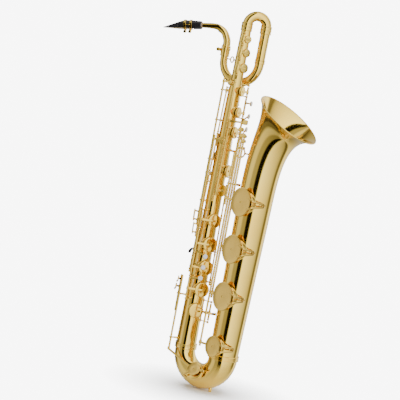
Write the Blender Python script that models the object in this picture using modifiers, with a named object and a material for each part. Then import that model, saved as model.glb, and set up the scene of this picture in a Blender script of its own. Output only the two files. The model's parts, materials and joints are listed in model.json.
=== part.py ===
"""Baritone saxophone: tubes, neck, mouthpiece, keywork, guards and fittings, one object for each piece.

The drawing coordinates are millimetres on the bench: Z is the axis of the body tube and runs up from
just below the bottom bow's foot, +X points from the body tube to the bell, and -Y is the player's
right side. The model's origin is the eye of the strap ring. Keys that stand open are drawn closed and
then turned open about their hinge line.
"""
import math

import bmesh
import bpy
from mathutils import Matrix, Vector
from mathutils.geometry import interpolate_bezier

MM = 0.001
GAP = 0.3
ORIGIN = Vector((-27.0, 0.0, 622.0))
OBJECT = "baritone_saxophone"

# Main air way: centre lines and outer radii
WALL = 0.8
BODY_LOW, BODY_HIGH = 105.0, 1062.0
SEAM = 112.0
BELL_SEAM = 1.7
BODY_RADIUS_LOW, BODY_RADIUS_HIGH = 29.4, 14.4
BOW_BEND = 65.0
BOW_RADIUS_BODY, BOW_RADIUS_BELL = 29.4, 42.0
BELL_CONTROL = ((136.2, 560.0), (138.5, 670.0), (141.0, 742.0), (192.5, 820.0))
BELL_RADIUS_STRAIGHT = 50.0
CROOK_Y = 35.0
CROOK_X = 44.0
RECEIVER_X = -77.0
CROOK_BEND_HEIGHT = 957.0
RECEIVER_LOW, RECEIVER_HIGH = 964.0, 988.0
NECK_TURN = math.radians(20.0)
MOUTHPIECE_LENGTH = 116.0

# Keywork
HINGE = 3.1
EYE = HINGE + 0.4
ARM_WIDTH, ARM_THICK = 7.0, 2.8
CUP_THICK = 4.6
CHIMNEY = 4.0
CHIMNEY_WALL = 1.2
CUP_LAP = 2.5
OPEN_LIFT, CLOSED_LIFT = 3.5, 0.35
PEARL_RADIUS = 7.6
SIDE_TURN = math.radians(-6.0)
BELL_CHIMNEY = 5.0
BELL_CUP_THICK = 4.4
GUARD_RISE = 19.8
GUARD_THICK = 1.8

# Every tone hole of the body tube: cup name, facing angle in degrees, height, cup radius
LOWER_STACK_ANGLE, UPPER_STACK_ANGLE = 56.0, 84.0
LOWER_ROD = (0.0, -52.0)
UPPER_ROD_ANGLE, UPPER_ROD_RADIUS = 132.0, 38.0
STACK_HOLES = {
    "f_sharp_key": (LOWER_STACK_ANGLE, 491.0, 20.0),
    "f_key": (LOWER_STACK_ANGLE, 421.0, 22.0),
    "e_key": (LOWER_STACK_ANGLE, 352.0, 22.0),
    "d_key": (LOWER_STACK_ANGLE, 287.0, 22.0),
    "g_key": (UPPER_STACK_ANGLE, 640.0, 18.0),
    "a_key": (UPPER_STACK_ANGLE, 752.0, 17.5),
    "b_key": (UPPER_STACK_ANGLE, 811.0, 16.5),
    "c_key": (UPPER_STACK_ANGLE, 873.0, 15.5),
}
SIDE_HOLES = {
    "g_sharp_key": (70.0, 581.0, 18.0),
    "e_flat_key": (47.0, 224.0, 22.0),
    "side_b_flat_key": (8.0, 725.0, 11.0),
    "high_e_key": (-22.0, 893.0, 9.0),
    "palm_d_key": (72.0, 939.0, 14.0),
    "palm_e_flat_key": (72.0, 983.0, 12.0),
    "palm_f_key": (60.0, 1022.0, 11.0),
    "octave_key": (-150.0, 845.0, 5.0),
}
# Tone holes of the bell: height and cup radius
BELL_HOLES = {
    "low_a_key": (568.0, 36.0),
    "low_b_flat_key": (431.0, 36.0),
    "low_b_key": (293.0, 36.0),
    "low_c_sharp_key": (146.0, 28.0),
}
BELL_RODS = {"low_b_flat_key": 88.2, "low_b_key": 80.8, "low_c_sharp_key": 73.4, "low_a_key": 66.0}
BELL_ROD_Y = -48.0
G_SHARP_ROD = (24.0, -37.0)
LOW_C_HOLE = (72.0, 26.0)
LOW_C_CHIMNEY = 7.0
LOW_C_TILT = math.radians(24.0)
LOW_C_GUARD_LIFT = 6.6
BOW_STEPS = 8
FOOT_X, FOOT_Z = 108.0, 2.0

BRASS = ("gold_brass", (0.83, 0.62, 0.28, 1.0), 0.16, 1.0)
EBONITE = ("ebonite", (0.015, 0.015, 0.017, 1.0), 0.25, 0.0)
CANE = ("cane", (0.72, 0.58, 0.33, 1.0), 0.6, 0.0)
CORK = ("cork", (0.58, 0.40, 0.24, 1.0), 0.85, 0.0)
SILVER = ("silver_plate", (0.78, 0.78, 0.80, 1.0), 0.2, 1.0)
BLACK = ("black_plastic", (0.02, 0.02, 0.022, 1.0), 0.4, 0.0)


# ---------------------------------------------------------------- scene and small helpers

def clear_scene():
    for obj in list(bpy.data.objects):
        bpy.data.objects.remove(obj, do_unlink=True)


def new_collection(name, guides):
    collection = bpy.data.collections.new(name)
    bpy.context.scene.collection.children.link(collection)
    collection.hide_render = guides
    return collection


def material(look):
    name, colour, roughness, metallic = look
    found = bpy.data.materials.get(name)
    if found:
        return found
    made = bpy.data.materials.new(name)
    made.use_nodes = True
    shader = made.node_tree.nodes["Principled BSDF"]
    shader.inputs["Base Color"].default_value = colour
    shader.inputs["Roughness"].default_value = roughness
    shader.inputs["Metallic"].default_value = metallic
    made.diffuse_color = colour
    return made


def place(x, y, z):
    """A bench point, in the model's metres."""
    return (Vector((x, y, z)) - ORIGIN) * MM


def around(angle, radius, z=0.0, centre=(0.0, 0.0)):
    """A bench point at this angle from -Y towards +X, round an upright axis through centre."""
    turn = math.radians(angle)
    return Vector((centre[0] + radius * math.sin(turn), centre[1] - radius * math.cos(turn), z))


def body_radius(z):
    share = (z - BODY_LOW) / (BODY_HIGH - BODY_LOW)
    return BODY_RADIUS_LOW + share * (BODY_RADIUS_HIGH - BODY_RADIUS_LOW)


def bell_x(z):
    low, high = 2 * BOW_BEND, BELL_CONTROL[0][0]
    return low + (high - low) * (z - BODY_LOW) / (BELL_CONTROL[0][1] - BODY_LOW)


def bell_radius(z):
    share = (z - BODY_LOW) / (BELL_CONTROL[0][1] - BODY_LOW)
    return BOW_RADIUS_BELL + share * (BELL_RADIUS_STRAIGHT - BOW_RADIUS_BELL)


def add_object(name, mesh):
    obj = bpy.data.objects.new(name, mesh)
    GUIDES.objects.link(obj)
    obj.hide_render = True
    obj.display_type = "WIRE"
    return obj


def baked(obj):
    """The object as a plain mesh in bench space, with its modifiers and its matrix taken in."""
    bpy.context.view_layer.update()
    graph = bpy.context.evaluated_depsgraph_get()
    mesh = bpy.data.meshes.new_from_object(obj.evaluated_get(graph), depsgraph=graph)
    mesh.transform(obj.matrix_world)
    made = add_object("piece", mesh)
    bpy.data.objects.remove(obj, do_unlink=True)
    return made


def from_bmesh(shape):
    mesh = bpy.data.meshes.new("piece")
    shape.to_mesh(mesh)
    shape.free()
    return add_object("piece", mesh)


def frame_along(start, end, up=Vector((0.0, 0.0, 1.0))):
    """A matrix at start whose Z runs to end and whose Y stays as near to up as it can."""
    along = (end - start).normalized()
    side = up.cross(along)
    if side.length < 1e-6:
        side = Vector((1.0, 0.0, 0.0))
    side.normalize()
    turn = Matrix((side, along.cross(side), along)).transposed().to_4x4()
    return Matrix.Translation(start) @ turn


# ---------------------------------------------------------------- solids, all in bench millimetres

def rod(start, end, radius, sides=10, end_radius=None):
    start, end = Vector(start), Vector(end)
    length = (end - start).length
    shape = bmesh.new()
    bmesh.ops.create_cone(shape, cap_ends=True, segments=sides, radius1=radius,
                          radius2=radius if end_radius is None else end_radius, depth=length)
    bmesh.ops.translate(shape, verts=shape.verts, vec=(0.0, 0.0, length / 2))
    bmesh.ops.transform(shape, verts=shape.verts, matrix=frame_along(start, end))
    return from_bmesh(shape)


def bar(start, end, width, thick, up=Vector((0.0, 0.0, 1.0))):
    """A flat bar from start to end, this wide along up and this thick across it."""
    start, end = Vector(start), Vector(end)
    length = (end - start).length
    shape = bmesh.new()
    bmesh.ops.create_cube(shape, size=1.0)
    bmesh.ops.scale(shape, verts=shape.verts, vec=(thick, width, length))
    bmesh.ops.translate(shape, verts=shape.verts, vec=(0.0, 0.0, length / 2))
    bmesh.ops.transform(shape, verts=shape.verts, matrix=frame_along(start, end, up))
    return from_bmesh(shape)


def turned(profile, base, tip, sides=20):
    """A solid turned round the line from base to tip; profile is (radius, height) from its top down."""
    closed = profile[0] == profile[-1]
    corners = profile[:-1] if closed else profile
    edges = [(n, n + 1) for n in range(len(corners) - 1)]
    if closed:
        edges.append((len(corners) - 1, 0))
    mesh = bpy.data.meshes.new("profile")
    mesh.from_pydata([(radius, 0.0, height) for radius, height in corners], edges, [])
    obj = add_object("profile", mesh)
    obj.matrix_world = frame_along(Vector(base), Vector(tip))
    screw = obj.modifiers.new("turn", "SCREW")
    screw.steps = sides
    screw.render_steps = sides
    screw.use_merge_vertices = True
    screw.merge_threshold = 0.0001
    return baked(obj)


def path_curve(points, radii, sides):
    curve = bpy.data.curves.new("path", "CURVE")
    curve.dimensions = "3D"
    curve.twist_mode = "MINIMUM"
    curve.bevel_depth = 1.0
    curve.bevel_resolution = (sides - 4) // 2
    curve.render_resolution_u = 0
    spline = curve.splines.new("POLY")
    spline.points.add(len(points) - 1)
    for point, where, radius in zip(spline.points, points, radii):
        point.co = (*where, 1.0)
        point.radius = radius
    return curve


def core(points, radii, sides):
    """A solid along the points with these radii."""
    curve = path_curve(points, radii, sides)
    curve.use_fill_caps = True
    made = baked(add_object("core", curve))
    shape = bmesh.new()
    shape.from_mesh(made.data)
    bmesh.ops.remove_doubles(shape, verts=shape.verts, dist=0.001)
    shape.to_mesh(made.data)
    shape.free()
    return made


def air_way(points, radii, sides, past=2.0):
    """The inside of a tube with these outer radii, running a little past both of its ends."""
    points = [Vector(point) for point in points]
    inner = [radius - WALL for radius in radii]
    first = points[0] + (points[0] - points[1]).normalized() * past
    last = points[-1] + (points[-1] - points[-2]).normalized() * past
    growth = (inner[-1] - inner[-2]) / (points[-1] - points[-2]).length * past
    return core([first, *points, last], [inner[0], *inner, inner[-1] + growth], sides)


def wire(points, radius, sides=8):
    """A solid wire through the points."""
    return core(points, [radius] * len(points), sides)


def ring(centre, axis, outer, inner, height, sides=28):
    """A flat-sided ring; centre is the middle of its height."""
    centre, axis = Vector(centre), Vector(axis).normalized()
    base = centre - axis * height / 2
    profile = [(outer, height), (outer, 0.0), (inner, 0.0), (inner, height), (outer, height)]
    return turned(profile, base, base + axis, sides)


def torus(centre, axis, major, minor, steps=20, sides=8):
    """A round-sectioned ring."""
    centre, axis = Vector(centre), Vector(axis).normalized()
    turns = [-2 * math.pi * n / sides for n in range(sides)]
    profile = [(major + minor * math.cos(turn), minor * math.sin(turn)) for turn in turns]
    return turned([*profile, profile[0]], centre, centre + axis, steps)


def smooth_path(points, count):
    """Points along a smooth curve through the given ones, each a tuple of any length."""
    ends = [points[0], *points, points[-1]]
    found = []
    for n in range(len(points) - 1):
        before, start, end, after = (Vector(p) for p in ends[n:n + 4])
        for step in range(count):
            t = step / count
            found.append(0.5 * (2 * start + (end - before) * t
                                + (2 * before - 5 * start + 4 * end - after) * t * t
                                + (3 * start - before - 3 * end + after) * t ** 3))
    found.append(Vector(points[-1]))
    return found


def combine(first, others, operation):
    for other in others:
        cut = first.modifiers.new("shape", "BOOLEAN")
        cut.operation = operation
        cut.solver = "EXACT"
        cut.object = other
    made = baked(first)
    for other in others:
        bpy.data.objects.remove(other, do_unlink=True)
    return made


def join_loose(pieces):
    """Pieces that don't touch, as one cutter or one addition."""
    shape = bmesh.new()
    for piece in pieces:
        shape.from_mesh(piece.data)
        bpy.data.objects.remove(piece, do_unlink=True)
    return from_bmesh(shape)


def part(name, look, pieces, cuts=(), pivot=None, swing=0.0):
    """One named piece of the saxophone, in metres, with its origin on its joint's axis.

    The swing is an angle about an upright axis through the pivot.
    """
    solid = combine(pieces[0], pieces[1:], "UNION") if len(pieces) > 1 else pieces[0]
    if cuts:
        solid = combine(solid, list(cuts), "DIFFERENCE")
    solid.name = name
    solid.data.name = name
    where = place(*pivot) if pivot is not None else Vector((0.0, 0.0, 0.0))
    solid.data.transform(Matrix.Translation(-where) @ Matrix.Scale(MM, 4) @ Matrix.Translation(-ORIGIN))
    solid.data.transform(Matrix.Rotation(swing, 4, "Z"))
    solid.location = where
    solid.data.shade_smooth()
    solid.data.set_sharp_from_angle(angle=math.radians(35.0))
    solid.data.materials.clear()
    solid.data.materials.append(material(look))
    GUIDES.objects.unlink(solid)
    PARTS.objects.link(solid)
    solid.hide_render = False
    solid.display_type = "TEXTURED"
    return solid


# ---------------------------------------------------------------- tubes

def chimneys(holes):
    """The raised tone holes and their bores; a hole is (axis point, facing, seat distance, radius)."""
    walls, bores = [], []
    for axis_point, facing, seat, radius in holes:
        sides = 10 if radius < 14.0 else 14
        walls.append(rod(axis_point + facing * 1.0, axis_point + facing * seat, radius, sides))
        bores.append(rod(axis_point + facing * 2.0, axis_point + facing * (seat + 5.0),
                         radius - CHIMNEY_WALL, sides))
    return walls, bores


def body_holes():
    """Each tone hole of the body tube as chimneys() takes it."""
    holes = []
    for angle, z, cup_radius in [*STACK_HOLES.values(), *SIDE_HOLES.values()]:
        facing = around(angle, 1.0)
        radius = max(cup_radius - CUP_LAP, 3.4)
        holes.append((Vector((0.0, 0.0, z)), facing, body_radius(z) + CHIMNEY, radius))
    return holes


def build_body_tube():
    points = [(0.0, 0.0, SEAM + GAP), (0.0, 0.0, BODY_HIGH)]
    radii = [BODY_RADIUS_LOW, BODY_RADIUS_HIGH]
    walls, bores = chimneys(body_holes())
    part("body_tube", BRASS, [core(points, radii, 16), join_loose(walls)],
         [air_way(points, radii, 16), join_loose(bores)])


def bow_points(steps):
    """Centre line of the bottom bow from the body round to the bell, with its radii."""
    points, radii = [(0.0, 0.0, SEAM)], [BOW_RADIUS_BODY]
    for n in range(steps + 1):
        turn = math.pi * n / steps
        points.append((BOW_BEND * (1 - math.cos(turn)), 0.0, BODY_LOW - BOW_BEND * math.sin(turn)))
        radii.append(BOW_RADIUS_BODY + (BOW_RADIUS_BELL - BOW_RADIUS_BODY) * n / steps)
    return [*points, (2 * BOW_BEND, 0.0, SEAM)], [*radii, BOW_RADIUS_BELL]


def bow_radius(x):
    turn = math.acos(1 - x / BOW_BEND)
    return BOW_RADIUS_BODY + (BOW_RADIUS_BELL - BOW_RADIUS_BODY) * turn / math.pi


def low_c_seat():
    """The axis point, facing and seat distance of the bow's tone hole."""
    x = LOW_C_HOLE[0]
    drop = math.sqrt(BOW_BEND ** 2 - (x - BOW_BEND) ** 2)
    facing = Vector((0.0, -math.cos(LOW_C_TILT), math.sin(LOW_C_TILT)))
    return Vector((x, 0.0, BODY_LOW - drop)), facing, bow_radius(x) + LOW_C_CHIMNEY


def build_bottom_bow():
    points, radii = bow_points(BOW_STEPS)
    axis_point, facing, seat = low_c_seat()
    walls, bores = chimneys([(axis_point, facing, seat, LOW_C_HOLE[1] - CUP_LAP)])
    outer, over, inner = BOW_RADIUS_BELL + 3.6, BOW_RADIUS_BELL + 1.6, BOW_RADIUS_BELL - 3.0
    bell_ring = socket_ring((2 * BOW_BEND, 0.0), SEAM, (outer, over, inner), 20, 9.0, 5.0, down=False)
    foot_profile = [(0.0, 22.0), (5.0, 22.0), (5.0, 6.0), (4.0, 0.0), (0.0, 0.0)]
    foot_base = Vector((FOOT_X, 0.0, FOOT_Z))
    foot = turned(foot_profile, foot_base, foot_base + Vector((0.0, 0.0, 1.0)), 16)
    part("bottom_bow", BRASS, [core(points, radii, 16), *walls, bell_ring, foot],
         [air_way(points, radii, 16), *bores])


def bell_points(steps):
    """Centre line of the bell from the bow to the rim, with its outer radii."""
    points = [(bell_x(z), 0.0, z) for z in (SEAM + BELL_SEAM, 220.0, 330.0, 450.0)]
    radii = [bell_radius(point[2]) for point in points]
    controls = [Vector((x, 0.0, z)) for x, z in BELL_CONTROL]
    for n, point in enumerate(interpolate_bezier(*controls, steps)):
        share = n / (steps - 1)
        points.append(tuple(point))
        radii.append(BELL_RADIUS_STRAIGHT + 12.0 * share ** 2 + 37.0 * share ** 8)
    return points, radii


def bell_facing(z):
    """The axis point and facing of a bell tone hole."""
    return Vector((bell_x(z), 0.0, z)), Vector((math.sin(SIDE_TURN), -math.cos(SIDE_TURN), 0.0))


def build_bell():
    points, radii = bell_points(10)
    holes = []
    for z, cup_radius in BELL_HOLES.values():
        axis_point, facing = bell_facing(z)
        holes.append((axis_point, facing, bell_radius(z) + BELL_CHIMNEY, cup_radius - 2 * CUP_LAP))
    walls, bores = chimneys(holes)
    rim_centre, below = Vector(points[-1]), Vector(points[-2])
    onward = (rim_centre - below).normalized()
    rim = torus(rim_centre - onward * 0.6, onward, radii[-1] - 0.4, 1.8, 24, 6)
    part("bell", BRASS, [core(points, radii, 24), join_loose(walls), rim],
         [air_way(points, radii, 24), join_loose(bores)])


def build_bow_ring():
    part("bow_ring", BRASS, [ring((0.0, 0.0, SEAM + 2.0), (0, 0, 1), BODY_RADIUS_LOW + 3.4,
                                  BODY_RADIUS_LOW + 0.8, 16.0)])


def crook_points():
    """Centre line of the crook from the receiver, round its loop and up to the top bow."""
    middle = (CROOK_X + RECEIVER_X) / 2
    bend = (CROOK_X - RECEIVER_X) / 2
    points = [(RECEIVER_X, CROOK_Y, RECEIVER_LOW - GAP)]
    radii = [11.0]
    steps = 12
    for n in range(steps + 1):
        turn = math.pi * n / steps
        points.append((middle - bend * math.cos(turn), CROOK_Y,
                       CROOK_BEND_HEIGHT - bend * math.sin(turn)))
        radii.append(11.0 + 2.6 * n / steps)
    points.append((CROOK_X, CROOK_Y, BODY_HIGH))
    radii.append(14.2)
    return points, radii


def water_key_pivot():
    low = CROOK_BEND_HEIGHT - (CROOK_X - RECEIVER_X) / 2 - 12.6
    return Vector(((CROOK_X + RECEIVER_X) / 2 - 14.0, CROOK_Y, low - 4.0))


def build_crook():
    """The crook's tube, with the saddle that the water key hangs in."""
    points, radii = crook_points()
    pivot = water_key_pivot()
    cheeks = [bar(pivot + Vector((0, side * 4.6, -2.8)), pivot + Vector((0, side * 4.6, 9.0)), 5.0, 1.6,
                  Vector((1.0, 0.0, 0.0))) for side in (-1, 1)]
    strip = bar(pivot + Vector((0, -5.2, 6.0)), pivot + Vector((0, 5.2, 6.0)), 5.0, 2.0, Vector((1.0,
            0.0, 0.0)))
    pin_hole = rod(pivot - Vector((0, 9.0, 0)), pivot + Vector((0, 9.0, 0)), 1.3, 8)
    part("crook", BRASS, [core(points, radii, 12), strip, *cheeks], [air_way(points, radii, 12),
                                                                     pin_hole])


def build_top_bow():
    start, end = Vector((CROOK_X, CROOK_Y, 0.0)), Vector((0.0, 0.0, 0.0))
    middle, half = (start + end) / 2, (start - end) / 2
    base = BODY_HIGH + GAP + 3.0
    points, radii = [start + Vector((0.0, 0.0, BODY_HIGH + GAP))], [14.2]
    steps = 10
    for n in range(steps + 1):
        turn = math.pi * n / steps
        points.append(middle + half * math.cos(turn) + Vector((0, 0,
                                                               base + half.length * math.sin(turn))))
        radii.append(14.3)
    points.append(end + Vector((0.0, 0.0, BODY_HIGH + GAP)))
    radii.append(BODY_RADIUS_HIGH)
    sockets = [socket_ring(foot, BODY_HIGH, (17.0, 15.0, 11.0), 16, 16.0, 8.0) for foot in (start, end)]
    part("top_bow", BRASS, [core(points, radii, 12), *sockets], [air_way(points, radii, 12)])


def socket_ring(foot, seam, radii, sides, socket, hold, down=True):
    """A ferrule round a tube's end: radii are its outside, its socket and the end that is soldered."""
    outer, over, inner = radii
    if down:
        profile = [(outer, hold), (outer, -socket), (over, -socket), (over, 0.8), (inner, 0.8), (inner,
                                                                                                 hold),
                   (outer, hold)]
    else:
        profile = [(outer, socket), (outer, -hold), (inner, -hold), (inner, -0.8), (over, -0.8), (over,
                                                                                                  socket),
                   (outer, socket)]
    base = Vector((foot[0], foot[1], seam))
    return turned(profile, base, base + Vector((0.0, 0.0, 1.0)), sides)


def build_receiver():
    centre = Vector((RECEIVER_X, CROOK_Y, 0.0))
    low, high = RECEIVER_LOW, RECEIVER_HIGH
    profile = [(14.4, high), (14.4, high - 5.0), (13.4, high - 6.0), (13.4, low + 4.0),
               (14.2, low + 3.0), (14.2, low), (11.6, low), (11.6, high), (14.4, high)]
    socket = turned([(radius, z - low) for radius, z in profile], centre + Vector((0, 0, low)),
                    centre + Vector((0, 0, high)), 24)
    lug = bar(centre + Vector((-13.0, -2.0, high - 7.0)), centre + Vector((-23.0, -2.0, high - 7.0)),
              9.0, 10.0)
    slot = bar(centre + Vector((-8.0, 0.0, high - 7.0)), centre + Vector((-24.0, 0.0, high - 7.0)), 30.0,
               2.0)
    bore = rod(centre + Vector((-18.5, -9.0, high - 7.0)), centre + Vector((-18.5, 5.0, high - 7.0)), 2.3)
    part("neck_receiver", BRASS, [socket, lug], [slot, bore])
    head = centre + Vector((-18.5, -11.0, high - 7.0))
    across = Vector((0.0, 1.0, 0.0))
    shank = rod(head, head + across * 13.0, 1.9)
    knob = turned([(0.0, 5.0), (4.6, 5.0), (5.6, 4.0), (5.6, 1.0), (4.6, 0.0), (0.0, 0.0)],
                  head - across * 4.0, head + across, 12)
    part("neck_screw", BRASS, [knob, shank], pivot=head)


# ---------------------------------------------------------------- neck and mouthpiece

NECK_DIRECTION = Vector((-math.cos(NECK_TURN), -math.sin(NECK_TURN), 0.0))
NECK_STATIONS = ((0.0, 966.0, 11.2), (0.0, 1000.0, 11.2), (3.5, 1016.0, 10.8), (14.0, 1033.0, 10.0),
                 (30.0, 1042.5, 9.2), (48.0, 1044.5, 8.5), (83.0, 1040.5, 7.3), (112.0, 1036.4, 6.8))
LIGATURE_SCREW_DROP = 20.6


def neck_point(out, z):
    return Vector((RECEIVER_X, CROOK_Y, z)) + NECK_DIRECTION * out


def mouthpiece_axis():
    """The mouthpiece's shank end, the way to its tip and its upward side."""
    shank, end = neck_point(*NECK_STATIONS[6][:2]), neck_point(*NECK_STATIONS[7][:2])
    along = (end - shank).normalized()
    side = along.cross(Vector((0, 0, 1))).normalized()
    return shank, along, side.cross(along)


def build_neck():
    stations = smooth_path(NECK_STATIONS, 2)
    points = [neck_point(out, z) for out, z, radius in stations]
    radii = [radius for out, z, radius in stations]
    collar = ring(neck_point(0.0, RECEIVER_HIGH + 3.2), (0, 0, 1), 14.2, 10.0, 5.0, 16)
    pivot = neck_point(0.0, RECEIVER_HIGH)
    part("neck_tube", BRASS, [core(points, radii, 12), collar], [air_way(points, radii, 12)], pivot=pivot)
    shank, along, up = mouthpiece_axis()
    cork = ring(shank + along * 13.0, along, 8.6, 7.75, 30.0, 18)
    part("neck_cork", CORK, [cork], pivot=pivot)


def build_mouthpiece():
    shank, along, up = mouthpiece_axis()
    length = MOUTHPIECE_LENGTH
    profile = [(0.0, length), (9.5, length), (12.2, length * 0.6), (13.3, length * 0.42), (13.3, 14.0),
               (14.2, 12.0), (14.2, 2.0), (13.2, 0.0), (0.0, 0.0)]
    blank = turned(profile, shank, shank + along, 24)
    side = along.cross(up)
    table = bar(shank + along * 22.0 - up * 20.3, shank + along * 140.0 - up * 20.3, 20.0, 40.0, up)
    slope = bar(shank + along * (length * 0.44) + up * 23.3, shank + along * (length + 12.0) - up * 3.1,
                20.0, 44.0, up)
    cheeks = [bar(shank + along * 70.0 + side * sign * 26.0, shank + along * 130.0 + side * sign * 21.5,
                  40.0, 30.0, up) for sign in (-1, 1)]
    bore = rod(shank - along, shank + along * 56.0, 8.9, 18)
    chamber = rod(shank + along * 55.0, shank + along * 84.0 - up * 6.0, 7.0, 12, 2.2)
    window = bar(shank + along * 64.0 - up * 8.0, shank + along * 106.0 - up * 11.0, 8.0, 9.0, up)
    part("mouthpiece", EBONITE, [blank], [table, slope, *cheeks, bore, chamber, window], pivot=shank)
    build_reed(shank, along, up, side)
    build_ligature(shank, along, up, side)


def build_reed(shank, along, up, side):
    blank = rod(shank + along * 38.0, shank + along * (MOUTHPIECE_LENGTH - 0.5), 13.4, 28)
    above = bar(shank + along * 20.0 + up * 9.4, shank + along * 140.0 + up * 9.4, 40.0, 40.0, up)
    scrape = bar(shank + along * 68.0 - up * 23.5, shank + along * 118.0 - up * 20.8, 20.0, 40.0, up)
    cheeks = [bar(shank + along * 30.0 + side * sign * 18.2, shank + along * 130.0 + side * sign * 18.2,
                  40.0, 20.0, up) for sign in (-1, 1)]
    part("reed", CANE, [blank], [above, scrape, *cheeks], pivot=shank)


def build_ligature(shank, along, up, side):
    low, high = 29.0, 56.0
    profile = [(15.2, high), (15.2, high - 5.0), (14.7, high - 6.0), (14.7, low + 6.0), (15.2, low + 5.0),
               (15.2, low), (14.0, low), (14.0, high), (15.2, high)]
    band = turned([(radius, z - low) for radius, z in profile], shank + along * low,
                  shank + along * high, 20)
    rail_start, rail_end = shank + along * (low + 1.0) - up * 19.0, shank + along * (high - 1.0) - up * 19.0
    rail = bar(rail_start, rail_end, 10.0, 8.0, up)
    stations = (low + 6.0, high - 6.0)
    bores = [rod(shank + along * out - up * LIGATURE_SCREW_DROP - side * 8.0,
                 shank + along * out - up * LIGATURE_SCREW_DROP + side * 8.0, 1.6, 8)
             for out in stations]
    part("ligature", BRASS, [band, rail], [join_loose(bores)], pivot=shank)
    for name, out in zip(("ligature_screw_back", "ligature_screw_front"), stations):
        middle = shank + along * out - up * LIGATURE_SCREW_DROP
        shaft = rod(middle + side * 5.0, middle - side * 5.0, 1.2, 8)
        knob = turned([(0.0, 6.0), (4.0, 6.0), (4.4, 5.4), (4.4, 0.6), (4.0, 0.0), (0.0, 0.0)],
                      middle - side * 4.6, middle - side * 20.0, 12)
        part(name, BRASS, [knob, shaft], pivot=middle)


# ---------------------------------------------------------------- keywork

def cup(axis_point, facing, seat, radius, thick):
    """A key cup over a tone hole; seat is the pad's distance from the tube's axis."""
    profile = [(0.0, thick), (radius - 3.0, thick - 0.4), (radius, thick - 1.8), (radius, 0.0), (0.0,
                                                                                                 0.0)]
    start = axis_point + facing * seat
    return turned(profile, start, start + facing, 16 if radius > 12 else 12)


def cup_arm(pivot, axis_point, facing, height):
    """The arm from a hinge tube to the middle of its cup's top."""
    end = axis_point + facing * height
    start = Vector((pivot[0], pivot[1], axis_point.z))
    return bar(start, end + (end - start).normalized() * 3.0, ARM_WIDTH, ARM_THICK)


def pearl(centre, facing, radius=PEARL_RADIUS):
    """A finger pearl in its holder; centre is the middle of the holder's back."""
    profile = [(0.0, 4.6), (radius, 3.2), (radius, 0.0), (0.0, 0.0)]
    return turned(profile, centre, centre + facing, 10)


def hinge_tube(pivot, low, high):
    return rod((pivot[0], pivot[1], low), (pivot[0], pivot[1], high), HINGE, 8)


def open_swing(pivot, axis_point, facing):
    """The turn about the hinge line that lifts a closed cup by OPEN_LIFT at its middle."""
    reach = axis_point - Vector((pivot[0], pivot[1], axis_point.z))
    lever = Vector((-reach.y, reach.x, 0.0)).dot(facing)
    return OPEN_LIFT / lever


def body_key(name, pivot, span, touch=()):
    """A key over a tone hole of the body tube; span is its hinge tube's low and high end."""
    angle, z, radius = {**STACK_HOLES, **SIDE_HOLES}[name]
    facing = around(angle, 1.0)
    axis_point = Vector((0.0, 0.0, z))
    seat = body_radius(z) + CHIMNEY + CLOSED_LIFT
    swing = open_swing(pivot, axis_point, facing) if name in STACK_HOLES else 0.0
    pieces = [cup(axis_point, facing, seat, radius, CUP_THICK),
              cup_arm(pivot, axis_point, facing, seat + CUP_THICK + 0.4), hinge_tube(pivot, *span)]
    part(name, BRASS, [*pieces, *touch], pivot=(*pivot, z), swing=swing)


def finger_touch(pivot, root_z, angle, radius, z):
    """An arm from the hinge tube out to a pearl that faces away from the body."""
    facing = around(angle, 1.0)
    centre = around(angle, radius, z)
    root = Vector((pivot[0], pivot[1], root_z))
    return [bar(root, centre + (centre - root).normalized() * 3.0, 5.0, ARM_THICK),
            pearl(centre - facing, facing)]


def build_lower_stack():
    pivot = LOWER_ROD
    body_key("f_sharp_key", pivot, (468.0, 514.0))
    body_key("f_key", pivot, (398.0, 460.0), finger_touch(pivot, 402.0, 38.0, 56.0, 388.0))
    body_key("e_key", pivot, (328.0, 390.0), finger_touch(pivot, 362.0, 38.0, 56.0, 356.0))
    body_key("d_key", pivot, (262.0, 320.0), finger_touch(pivot, 316.0, 36.0, 56.0, 324.0))
    rib_posts("lower_stack_posts", -5.0, 6.0, pivot, (257.0, 324.0, 394.0, 464.0, 519.0))


def upper_pivot():
    x, y, z = around(UPPER_ROD_ANGLE, UPPER_ROD_RADIUS)
    return (x, y)


def build_upper_stack():
    pivot = upper_pivot()
    body_key("g_key", pivot, (625.0, 736.0), finger_touch(pivot, 722.0, 88.0, 57.0, 768.0))
    body_key("a_key", pivot, (744.0, 792.0), finger_touch(pivot, 788.0, 88.0, 57.0, 806.0))
    body_key("b_key", pivot, (800.0, 856.0), finger_touch(pivot, 842.0, 88.0, 57.0, 843.0))
    body_key("c_key", pivot, (864.0, 888.0))
    rib_posts("upper_stack_posts", 142.0, 5.0, pivot, (620.0, 740.0, 796.0, 860.0, 893.0))


def rib_posts(name, angle, width, pivot, heights):
    """A rib along the body tube, with a post to the hinge line at each height."""
    low, high = heights[0] - 5.0, heights[-1] + 5.0
    lift = GAP + 0.9
    start, end = around(angle, body_radius(low) + lift, low), around(angle, body_radius(high) + lift,
                                                                     high)
    pieces = [bar(start, end, 1.4, width, around(angle, 1.0))]
    for z in heights:
        foot = around(angle, body_radius(z) + lift, z)
        pieces.append(rod(foot, (pivot[0], pivot[1], z), 2.0, 6))
        pieces.append(rod((pivot[0], pivot[1], z - 3.4), (pivot[0], pivot[1], z + 3.4), 4.0, 8))
    part(name, BRASS, pieces)


def eye_plate(z, rods, foot, foot_width=7.0):
    """A plate with a stem to its foot, and the eyes in it for the hinge tubes that pass through."""
    first, last = Vector((*rods[0], z)), Vector((*rods[-1], z))
    spread = (last - first).normalized() if len(rods) > 1 else Vector((1.0, 0.0, 0.0))
    pieces = [bar(first - spread * 5.5, last + spread * 5.5, 4.0, 11.0),
              bar((first + last) / 2, foot, 4.0, foot_width)]
    return pieces, [rod((x, y, z - 5.0), (x, y, z + 5.0), EYE, 12) for x, y in rods]


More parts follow.
